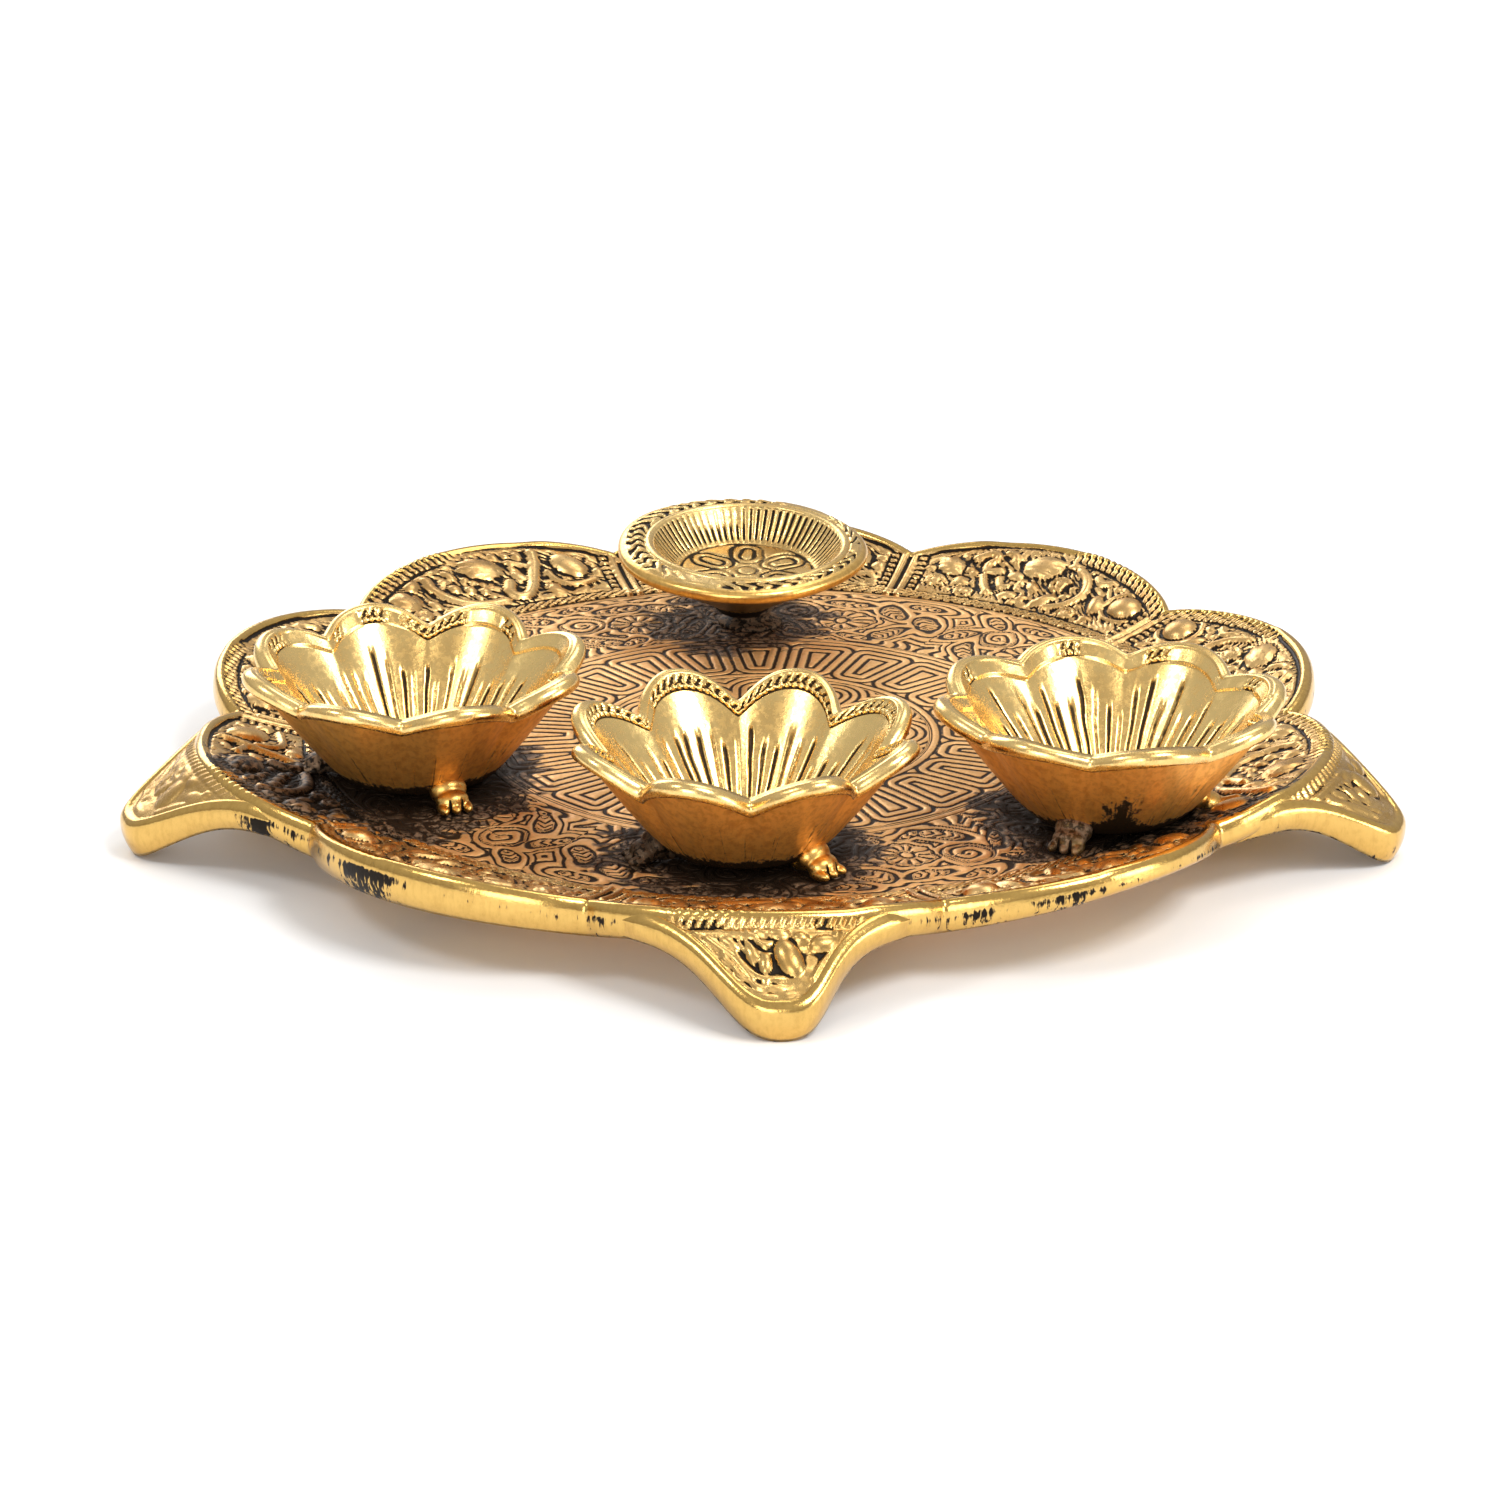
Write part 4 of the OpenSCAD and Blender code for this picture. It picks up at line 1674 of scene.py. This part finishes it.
@dataclass
class ClawLeg:
    """A paw with three toes, cast under a bowl's edge."""

    name: str
    turn: float
    soot_and_shade: float
    toe_r: float = 20.8
    voxel: float = 0.22

    LUMPS: ClassVar[tuple[tuple[Place, Place], ...]] = (
        ((13.2, 0.0, 1.5), (2.6, 2.1, 1.5)),
        ((15.4, 0.0, 3.0), (2.3, 3.3, 2.6)),
        ((17.3, 0.0, 1.9), (2.4, 2.9, 1.9)),
    )
    LANES: ClassVar[Place] = (-2.1, 0.0, 2.1)
    TOE: ClassVar[Place] = (2.2, 0.95, 0.95)
    BALL: ClassVar[tuple[int, int]] = (15, 28)
    POLE: ClassVar[float] = 0.06
    LOWEST: ClassVar[float] = 0.02
    CALM_SHARE: ClassVar[float] = 0.5
    CALM_TURNS: ClassVar[int] = 3

    def lumps(self) -> Skin:
        """Gathers the overlapping balls that the paw is moulded from.

        Returns:
            Their skin.
        """
        long, _, high = self.TOE
        toes = [((self.toe_r - long, lane, high), self.TOE) for lane in self.LANES]
        rows, columns = self.BALL
        tilt = np.linspace(self.POLE, math.pi - self.POLE, rows)[:, None]
        unit = polar(np.sin(tilt), full_turn(columns), np.cos(tilt))
        skin = Skin()
        for place, size in (*self.LUMPS, *toes):
            ball = unit * np.array(size) + np.array(place)
            ball[..., 2] = np.maximum(ball[..., 2], self.LOWEST)
            part = ring_skin(ball, {})
            first = skin.add(np.concatenate(part.points), {})
            skin.faces.extend([[n + first for n in face] for face in part.faces])
        return skin

    def moulded(self) -> bpy.types.Mesh:
        """Moulds the balls into one smooth mesh.

        Returns:
            The new mesh.
        """
        rough = self.lumps().piece(self.name + "_lumps", Vector())
        remesh = rough.modifiers.new("skin", "REMESH")
        remesh.mode, remesh.voxel_size = "VOXEL", self.voxel * MM
        calm = rough.modifiers.new("calm", "SMOOTH")
        calm.factor, calm.iterations = self.CALM_SHARE, self.CALM_TURNS
        graph = bpy.context.evaluated_depsgraph_get()
        mesh = bpy.data.meshes.new_from_object(rough.evaluated_get(graph))
        bpy.data.objects.remove(rough)
        return mesh

    def build(self, axis: Vector) -> bpy.types.Object:
        """Builds the paw, with its toes pointing away from a bowl's axis.

        Args:
            axis: Foot of the bowl's axis on the plate, in metres.

        Returns:
            The linked piece.
        """
        mesh = self.moulded()
        places = np.empty(len(mesh.vertices) * 3)
        mesh.vertices.foreach_get("co", places)
        x, y, z = (places.reshape(-1, 3) / MM).T
        between = np.abs(np.abs(y) - self.LANES[-1] / 2)
        gaps = ease(0.4, 0.1, between) * ease(self.toe_r - 2.6, self.toe_r - 1.8, x)
        # Darker towards the plate, and as dark as the paw's place under its bowl: oxide and painted shade
        low = 0.4 * ease(0.7, 0.1, z)
        put_marks(mesh, {"recess": gaps * ease(3.4, 2.0, z), "patina": np.maximum(low, self.soot_and_shade)})
        mesh.name = self.name
        mesh.shade_smooth()
        made = placed(self.name, mesh, axis)
        made.rotation_euler = (0.0, 0.0, self.turn)
        return made


@dataclass
class LampDish:
    """The round lamp dish with its engraved rim, and the pedestal under it."""

    dish_r: float
    top_z: float
    open_r: float = 17.5
    floor_r: float = 12.6
    depth: float = 6.0
    lip: float = 1.3
    off_x: float = 0.7
    columns: int = 576
    flutes: int = 76
    petals: int = 6
    rubbed: float = 1.95
    bead: float = 0.75
    cone: tuple[Point, ...] = ((18.0, 11.5), (12.2, 8.0), (6.5, 4.8), (4.6, 2.8))
    stand: tuple[Point, ...] = (
        (4.6, 3.2),
        (3.9, 2.5),
        (3.6, 1.9),
        (4.0, 1.3),
        (5.2, 0.9),
        (6.0, 0.5),
        (5.9, 0.0),
    )

    WELL_ROWS: ClassVar[int] = 28
    WALL_ROWS: ClassVar[int] = 20
    BEAD_ROWS: ClassVar[int] = 8
    RIM_ROWS: ClassVar[int] = 14
    LIP_ROWS: ClassVar[int] = 11
    CONE_ROWS: ClassVar[int] = 21
    PEDESTAL_COLUMNS: ClassVar[int] = 96

    def build(self, origin: Vector) -> bpy.types.Object:
        """Builds the dish as a closed solid.

        Args:
            origin: Foot of the dish's axis on the plate, in metres.

        Returns:
            The linked piece.
        """
        turn = full_turn(self.columns)
        floor_z = self.top_z - self.depth
        uneven = 1.0 + 0.012 * np.sin(3 * turn + 0.7) + 0.008 * np.sin(5 * turn + 2.0) - 0.02 * np.cos(turn)
        well_r = np.linspace(0.4, self.floor_r, self.WELL_ROWS)[:, None] + 0.0 * turn
        wheel = self.floor_lines(well_r, turn)
        well_z = floor_z + 0.3 * (well_r / self.floor_r) ** 2 - 0.25 * wheel
        up = np.linspace(0.0, 1.0, self.WALL_ROWS)[1:, None]
        flute = strokes(turn * self.flutes, 2 * math.pi, 0.62)
        rubbed = bump(turn, self.rubbed, 0.45)
        fade = ease(0.0, 0.1, up) * ease(1.0, 0.88, up) * (1.0 - 0.75 * rubbed * ease(0.2, 0.6, up))
        wall_r = mix(self.floor_r, self.open_r, up**0.8) + 0.28 * (1.0 - flute) * fade
        wall_z = mix(floor_z + 0.3, self.top_z - 0.35, up) + 0.0 * turn
        bend = np.linspace(0.0, math.pi, self.BEAD_ROWS)[:, None]
        bead_r = self.open_r + self.bead - self.bead * np.cos(bend) + 0.0 * turn
        bead_z = self.top_z - 0.45 + 0.45 * np.sin(bend) + 0.0 * turn
        out = np.linspace(0.0, 1.0, self.RIM_ROWS)[1:, None]
        edge_r = self.dish_r - self.lip
        rim_r = mix(self.open_r + 2 * self.bead, edge_r, out) * mix(1.0, uneven, out)
        carved, carved_dark = self.rim_lines(out, turn)
        rim_z = self.top_z - 0.5 - 0.3 * out + 0.45 * carved
        curl = np.linspace(0.0, math.pi * 0.9, self.LIP_ROWS)[1:, None]
        lip_r = (edge_r + self.lip * np.sin(curl)) * uneven
        lip_z = self.top_z - 0.8 - self.lip + self.lip * np.cos(curl) + 0.0 * turn
        knots = np.array([(float(lip_r[-1].mean()), float(lip_z[-1].mean())), *self.cone])
        steps = np.linspace(0.0, len(knots) - 1.0, self.CONE_ROWS)[1:]
        taper = steps[:, None] / steps[-1]
        cone_r, cone_z = (np.interp(steps, np.arange(len(knots)), side)[:, None] for side in knots.T)
        cone_r, cone_z = cone_r * mix(uneven, 1.0, taper), cone_z + 0.0 * turn
        end_r, end_z = 0.3 + 0.0 * turn, self.cone[-1][1] + 0.0 * turn
        rows_r = [well_r, wall_r, bead_r, rim_r, lip_r, cone_r, end_r]
        rows_z = [well_z, wall_z, bead_z, rim_z, lip_z, cone_z, end_z]
        points = polar(np.concatenate(rows_r), turn, np.concatenate(rows_z))
        well, wall, bead, rim, lip, cone, end = (0 * rows for rows in rows_r)
        # The cone darkens towards the stem: painted shade under the dish, with oxide
        below = 0.9 * ease(0.6, 0.95, taper) + cone
        dark = [0.9 * wheel, (1.0 - flute) * fade, bead, carved_dark, lip, cone, end]
        marks = {
            "recess": np.concatenate(dark),
            "patina": np.concatenate([well, wall, bead, rim, lip, below, 1.0 + end]),
            "edge": np.concatenate([well, wall, bead, rim, 1.0 + lip, 1.0 + cone, end]),
        }
        inner = len(well) + len(wall) + len(bead)
        off = np.concatenate([np.ones(inner), 1.0 - out[:, 0], np.zeros(len(points) - inner - len(rim))])
        points[..., 0] += self.off_x * off[:, None]
        return ring_skin(points, marks).piece("lamp_dish_gold", origin)

    def floor_lines(self, r: Array, turn: Array) -> Array:
        """Draws the wheel of petals on the dish's floor.

        Args:
            r: Radii.
            turn: Angles round the dish's axis.

        Returns:
            Depths of the lines, 0 to 1.
        """
        bent = 0.12 * (NOISE.at(turn * 9.0, r, 3.0) - 0.5)
        local = (((turn + bent) * self.petals / (2 * math.pi)) % 1.0 - 0.5) * (2 * math.pi / self.petals)
        x, y = r * np.sin(local), r * np.cos(local)
        left = ease(0.22, 0.5, NOISE.at(r * np.cos(turn) + 40.0, r * np.sin(turn) + 40.0, 4.0))
        away = np.hypot(x, y - np.clip(y, 6.4, 8.8))
        petals = ridge(away - 1.3, 0.5) + ridge(away - 3.0, 0.5)
        lines = petals + ridge(r - 1.9, 0.5) + ridge(r - 12.2, 0.45)
        return np.clip(lines, 0.0, 1.0) * mix(0.74, 1.0, left)

    def rim_lines(self, out: Array, turn: Array) -> tuple[Array, Array]:
        """Draws the scrolls on the dish's rim.

        Args:
            out: Shares of the rim's width, from inside.
            turn: Angles round the dish's axis.

        Returns:
            The height and the blackness.
        """
        along = turn * self.dish_r
        across = out * 3.0
        bent = 2.2 * (NOISE.at(along, across, 4.0) - 0.5)
        waves = 0.5 + 0.5 * np.sin((along + bent) * 2 * math.pi / 3.4 + 2.6 * np.sin(across * 1.9 + bent))
        leaf = NOISE.at(along + 3.0, across, 1.1)
        kept = ease(0.12, 0.42, NOISE.at(along + 31.0, 0 * across, 11.0))
        height = np.maximum(ease(0.3, 0.6, 0.4 * leaf + 0.6 * waves), 1.0 - kept)
        raised = height * ease(0.0, 0.12, out) * ease(1.0, 0.86, out)
        black = (1.0 - height) * ease(0.0, 0.1, out) * ease(1.0, 0.9, out)
        return raised, black

    def build_pedestal(self, origin: Vector) -> bpy.types.Object:
        """Builds the waisted pedestal as a closed solid.

        Args:
            origin: Foot of the pedestal's axis on the plate, in metres.

        Returns:
            The linked piece.
        """
        turn = full_turn(self.PEDESTAL_COLUMNS)
        profile = np.array([(0.4, self.stand[0][1]), *self.stand, (0.4, 0.0)])
        lumps = 0.5 * (NOISE.at(turn * 6 + 5, 0 * turn, 1.6) - 0.5)
        r = profile[:, :1] * (1.0 + 0.12 * lumps)
        # Dark all over: oxide, with painted shade under the dish
        marks = {"recess": 0 * r, "patina": 0.9 + 0 * r}
        points = polar(r, turn, profile[:, 1:] + 0 * turn)
        return ring_skin(points, marks).piece("lamp_pedestal_black", origin)


@dataclass(frozen=True)
class Softbox:
    """A square white studio light, in metres and watts, that is aimed at the origin."""

    name: str
    place: Place
    side: float
    watts: float

    def light(self) -> None:
        """Adds the light to the scene."""
        data = bpy.data.lights.new(self.name, "AREA")
        data.shape, data.size, data.energy = "SQUARE", self.side, self.watts
        made = placed(self.name, data, self.place)
        made.rotation_euler = (-Vector(self.place)).to_track_quat("-Z", "Y").to_euler()


@dataclass
class Studio:
    """A pale floor, soft lights and the camera.

    The camera's target and distance are millimetres and its elevation is degrees.
    The floor, the clipping and the lights are metres.
    """

    target: Place = (-2.48, 24.265, 0.0)
    elevation: float = 20.582
    distance: float = 969.5
    lens: float = 129.17
    sensor: float = 36.0
    clip: Point = (0.01, 50.0)
    sky_low: Colour = (0.62, 0.6, 0.58)
    sky_high: Colour = (1.0, 1.0, 1.0)
    sky_power: float = 0.55
    floor_side: float = 8.0
    floor_colour: Colour = (0.9, 0.9, 0.9)
    floor_rough: float = 0.7
    boxes: tuple[Softbox, ...] = (
        Softbox("key box", (0.85, -0.62, 1.42), 0.62, 16.5),
        Softbox("left box", (-0.95, -0.5, 1.35), 0.4, 5.6),
        Softbox("top box", (0.4, 0.6, 1.4), 0.7, 4.5),
        Softbox("back box", (-0.6, 1.4, 0.7), 0.85, 8.5),
        Softbox("front box", (-0.4, -1.5, 0.45), 0.8, 8.5),
        Softbox("right box", (1.5, -0.45, 0.3), 0.6, 7.6),
    )

    def build(self) -> None:
        """Adds the whole studio to the scene."""
        self.camera()
        self.world()
        self.floor()
        for box in self.boxes:
            box.light()

    def camera(self) -> None:
        """Adds the camera and makes it the scene's own."""
        data = bpy.data.cameras.new("camera")
        data.lens, data.sensor_width = self.lens, self.sensor
        data.clip_start, data.clip_end = self.clip
        tilt = math.radians(self.elevation)
        look = Vector((0.0, math.cos(tilt), -math.sin(tilt)))
        made = placed("camera", data, (Vector(self.target) - look * self.distance) * MM)
        made.rotation_euler = look.to_track_quat("-Z", "Y").to_euler()
        bpy.context.scene.camera = made

    def world(self) -> None:
        """Adds a soft white surround that is a little darker low down."""
        made = bpy.data.worlds.new("studio")
        made.use_nodes = True
        shade = Shade(made.node_tree)
        place = shade.node("ShaderNodeTexCoord", out="Generated")
        high = shade.node("ShaderNodeSeparateXYZ", {}, {0: place}, out=2)
        colour = shade.blend(self.sky_low, self.sky_high, high.step(-0.1, 0.5))
        light = shade.node("ShaderNodeBackground", {}, {"Color": colour, "Strength": self.sky_power})
        shade.node("ShaderNodeOutputWorld", {}, {"Surface": light})
        bpy.context.scene.world = made

    def floor(self) -> None:
        """Adds the pale floor under the object."""
        half = self.floor_side / 2
        mesh = bpy.data.meshes.new("studio floor")
        corners = [(-half, -half, 0.0), (half, -half, 0.0), (half, half, 0.0), (-half, half, 0.0)]
        mesh.from_pydata(corners, [], [(0, 1, 2, 3)])
        made = placed("studio floor", mesh, Vector())
        paint = bpy.data.materials.new("pale floor")
        paint.use_nodes = True
        shade = Shade(paint.node_tree)
        values = {"Base Color": (*self.floor_colour, 1.0), "Roughness": self.floor_rough}
        surface = shade.node("ShaderNodeBsdfPrincipled", {}, values)
        shade.node("ShaderNodeOutputMaterial", {}, {"Surface": surface})
        mesh.materials.append(paint)


@dataclass
class Box:
    """The bounds of a CAD node in millimetres."""

    node: str

    def __post_init__(self) -> None:
        """Reads the node's corners from the frame."""
        low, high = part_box(self.node)
        self.low, self.high = Vector(low) / MM, Vector(high) / MM
        self.middle = (self.low + self.high) / 2


@dataclass(frozen=True)
class FootPlan:
    """How one leaf is turned and leans, in degrees, and how bold and how stained it is."""

    turn: float
    lean: float = 0.0
    bold: float = 0.8
    stain: float = 0.0


@dataclass(frozen=True)
class BowlPlan:
    """How one bowl is turned, worn and stained, with its legs, flutes and notches.

    The turn is in degrees. Each leg has its turn in degrees and its blackness, oxide and painted shade.
    """

    turn: float
    wear: float
    legs: Mapping[str, Point]
    flute_top: Point = (0.48, 0.74)
    notch: Point = (25.0, 17.8)
    stain: float = 0.0


class Thali:
    """The whole thali, made from its sub-assemblies."""

    FEET: ClassVar[Mapping[str, FootPlan]] = {
        "leaf_foot_front": FootPlan(270.0, 1.3, 1.2),
        "leaf_foot_left": FootPlan(198.0, -1.6, 0.4, 0.78),
        "leaf_foot_right": FootPlan(342.0),
        "leaf_foot_back_left": FootPlan(126.0),
        "leaf_foot_back_right": FootPlan(54.0),
    }
    BOWLS: ClassVar[Mapping[str, BowlPlan]] = {
        "left_bowl": BowlPlan(
            20.5,
            0.6,
            {"front_leg": (-67.0, 0.0), "right_leg": (53.0, 0.3), "left_leg": (173.0, 0.7)},
            notch=(26.2, 19.4),
        ),
        "front_bowl": BowlPlan(
            25.0,
            0.2,
            {"right_leg": (-42.0, 0.0), "rear_leg": (78.0, 0.3), "left_leg": (198.0, 1.0)},
        ),
        "right_bowl": BowlPlan(
            12.0,
            0.66,
            {"front_leg": (245.0, 0.55), "right_leg": (5.0, 0.0), "rear_leg": (125.0, 0.3)},
            flute_top=(0.55, 0.84),
            notch=(27.0, 20.2),
            stain=0.7,
        ),
    }
    BOWL_SEED: ClassVar[int] = 71
    # Reach and depth of the dark patch round each vessel: oxide, with painted shade at its core
    BOWL_SOOT_AND_SHADE: ClassVar[Point] = (23.0, 1.35)
    DISH_SOOT_AND_SHADE: ClassVar[Point] = (20.0, 0.78)
    LAMP_TILT_DEGREES: ClassVar[Place] = (4.0, 1.2, 0.0)
    # More dark patches by the bowls: oxide, with painted shade in front of their feet
    SOOT_AND_SHADE_PATCHES: ClassVar[tuple[Patch, ...]] = (
        Patch(-83.0, -31.0, 15.0),
        Patch(-74.0, -36.0, 16.0, 1.3),
        Patch(83.0, -50.0, 10.0),
        Patch(-20.0, -60.0, 10.0),
        Patch(-62.0, -43.0, 11.0, 1.2),
    )

    def __init__(self) -> None:
        """Makes the finishes once."""
        self.paints = {finish: finish.value.material() for finish in Finish}

    def dress(self, piece: bpy.types.Object, finish: Finish, node: str) -> None:
        """Paints a piece and puts it in the place of a CAD node.

        Args:
            piece: The new piece.
            finish: Its finish.
            node: The node that it stands for.
        """
        piece.data.materials.clear()
        piece.data.materials.append(self.paints[finish])
        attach(piece, BODY)
        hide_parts(node)
        LOG.info("%s stands for %s in %s", piece.name, node, finish.value.title)

    def build(self) -> None:
        """Builds and dresses every piece."""
        plate_box = Box("plate")
        axis = plate_box.middle
        dish_box = Box("lamp_dish")
        patches = [Patch(dish_box.middle.x - axis.x, dish_box.middle.y - axis.y, *self.DISH_SOOT_AND_SHADE)]
        for node in self.BOWLS:
            box = Box(node)
            patches.append(Patch(box.middle.x - axis.x, box.middle.y - axis.y, *self.BOWL_SOOT_AND_SHADE))
        soot_and_shade = SootAndShade([*patches, *self.SOOT_AND_SHADE_PATCHES])
        plate = Plate((plate_box.high.y - plate_box.low.y) / 2, plate_box.high.z, soot_and_shade)
        base = Vector((axis.x, axis.y, 0.0)) * MM
        self.dress(plate.build_floor(base), Finish.FLOOR, "plate")
        self.dress(plate.build_rim(base), Finish.RIM, "plate")
        for node, plan in self.FEET.items():
            turn, lean = math.radians(plan.turn), math.radians(plan.lean)
            leaf = LeafFoot(plate, node + "_gold", turn, lean, plan.bold, plan.stain)
            self.dress(leaf.build(base), Finish.LEAF, node)
        for seed, (node, plan) in enumerate(self.BOWLS.items(), self.BOWL_SEED):
            self.build_bowl(plate, node, plan, seed)
        dish = LampDish((dish_box.high.x - dish_box.low.x) / 2, dish_box.high.z - plate.floor_z)
        lamp = dish.build(self.stand("lamp_dish", plate))
        lamp.rotation_euler = [math.radians(degrees) for degrees in self.LAMP_TILT_DEGREES]
        self.dress(lamp, Finish.DISH, "lamp_dish")
        foot = dish.build_pedestal(self.stand("lamp_dish_pedestal", plate))
        self.dress(foot, Finish.BASE, "lamp_dish_pedestal")

    @staticmethod
    def stand(node: str, plate: Plate) -> Vector:
        """Returns the point of the plate's floor that a node stands over."""
        box = Box(node)
        return Vector((box.middle.x, box.middle.y, plate.floor_z)) * MM

    def build_bowl(self, plate: Plate, node: str, plan: BowlPlan, seed: int) -> None:
        """Builds one bowl and its three legs.

        Args:
            plate: The plate that it stands on.
            node: The bowl's CAD node.
            plan: How it is turned, worn and stained.
            seed: Seed of its small differences.
        """
        stand = self.stand(node, plate)
        bowl = PetalBowl(
            node + "_gold",
            Box(node).high.z - plate.floor_z,
            math.radians(plan.turn),
            plan.wear,
            seed,
            plan.flute_top,
            *plan.notch,
            plan.stain,
        )
        self.dress(bowl.build(stand), Finish.BOWL, node)
        for leg, (degrees, soot_and_shade) in plan.legs.items():
            name = f"{node}_{leg}"
            paw = ClawLeg(name + "_gold", math.radians(degrees), soot_and_shade)
            self.dress(paw.build(stand), Finish.LEG, name)


def main() -> None:
    """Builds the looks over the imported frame."""
    logging.basicConfig(level=logging.INFO, format="%(name)s: %(message)s")
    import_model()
    Thali().build()
    Studio().build()
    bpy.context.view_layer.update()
    view = bpy.context.scene.view_settings
    view.view_transform = "Standard"


if __name__ == "__main__":
    main()
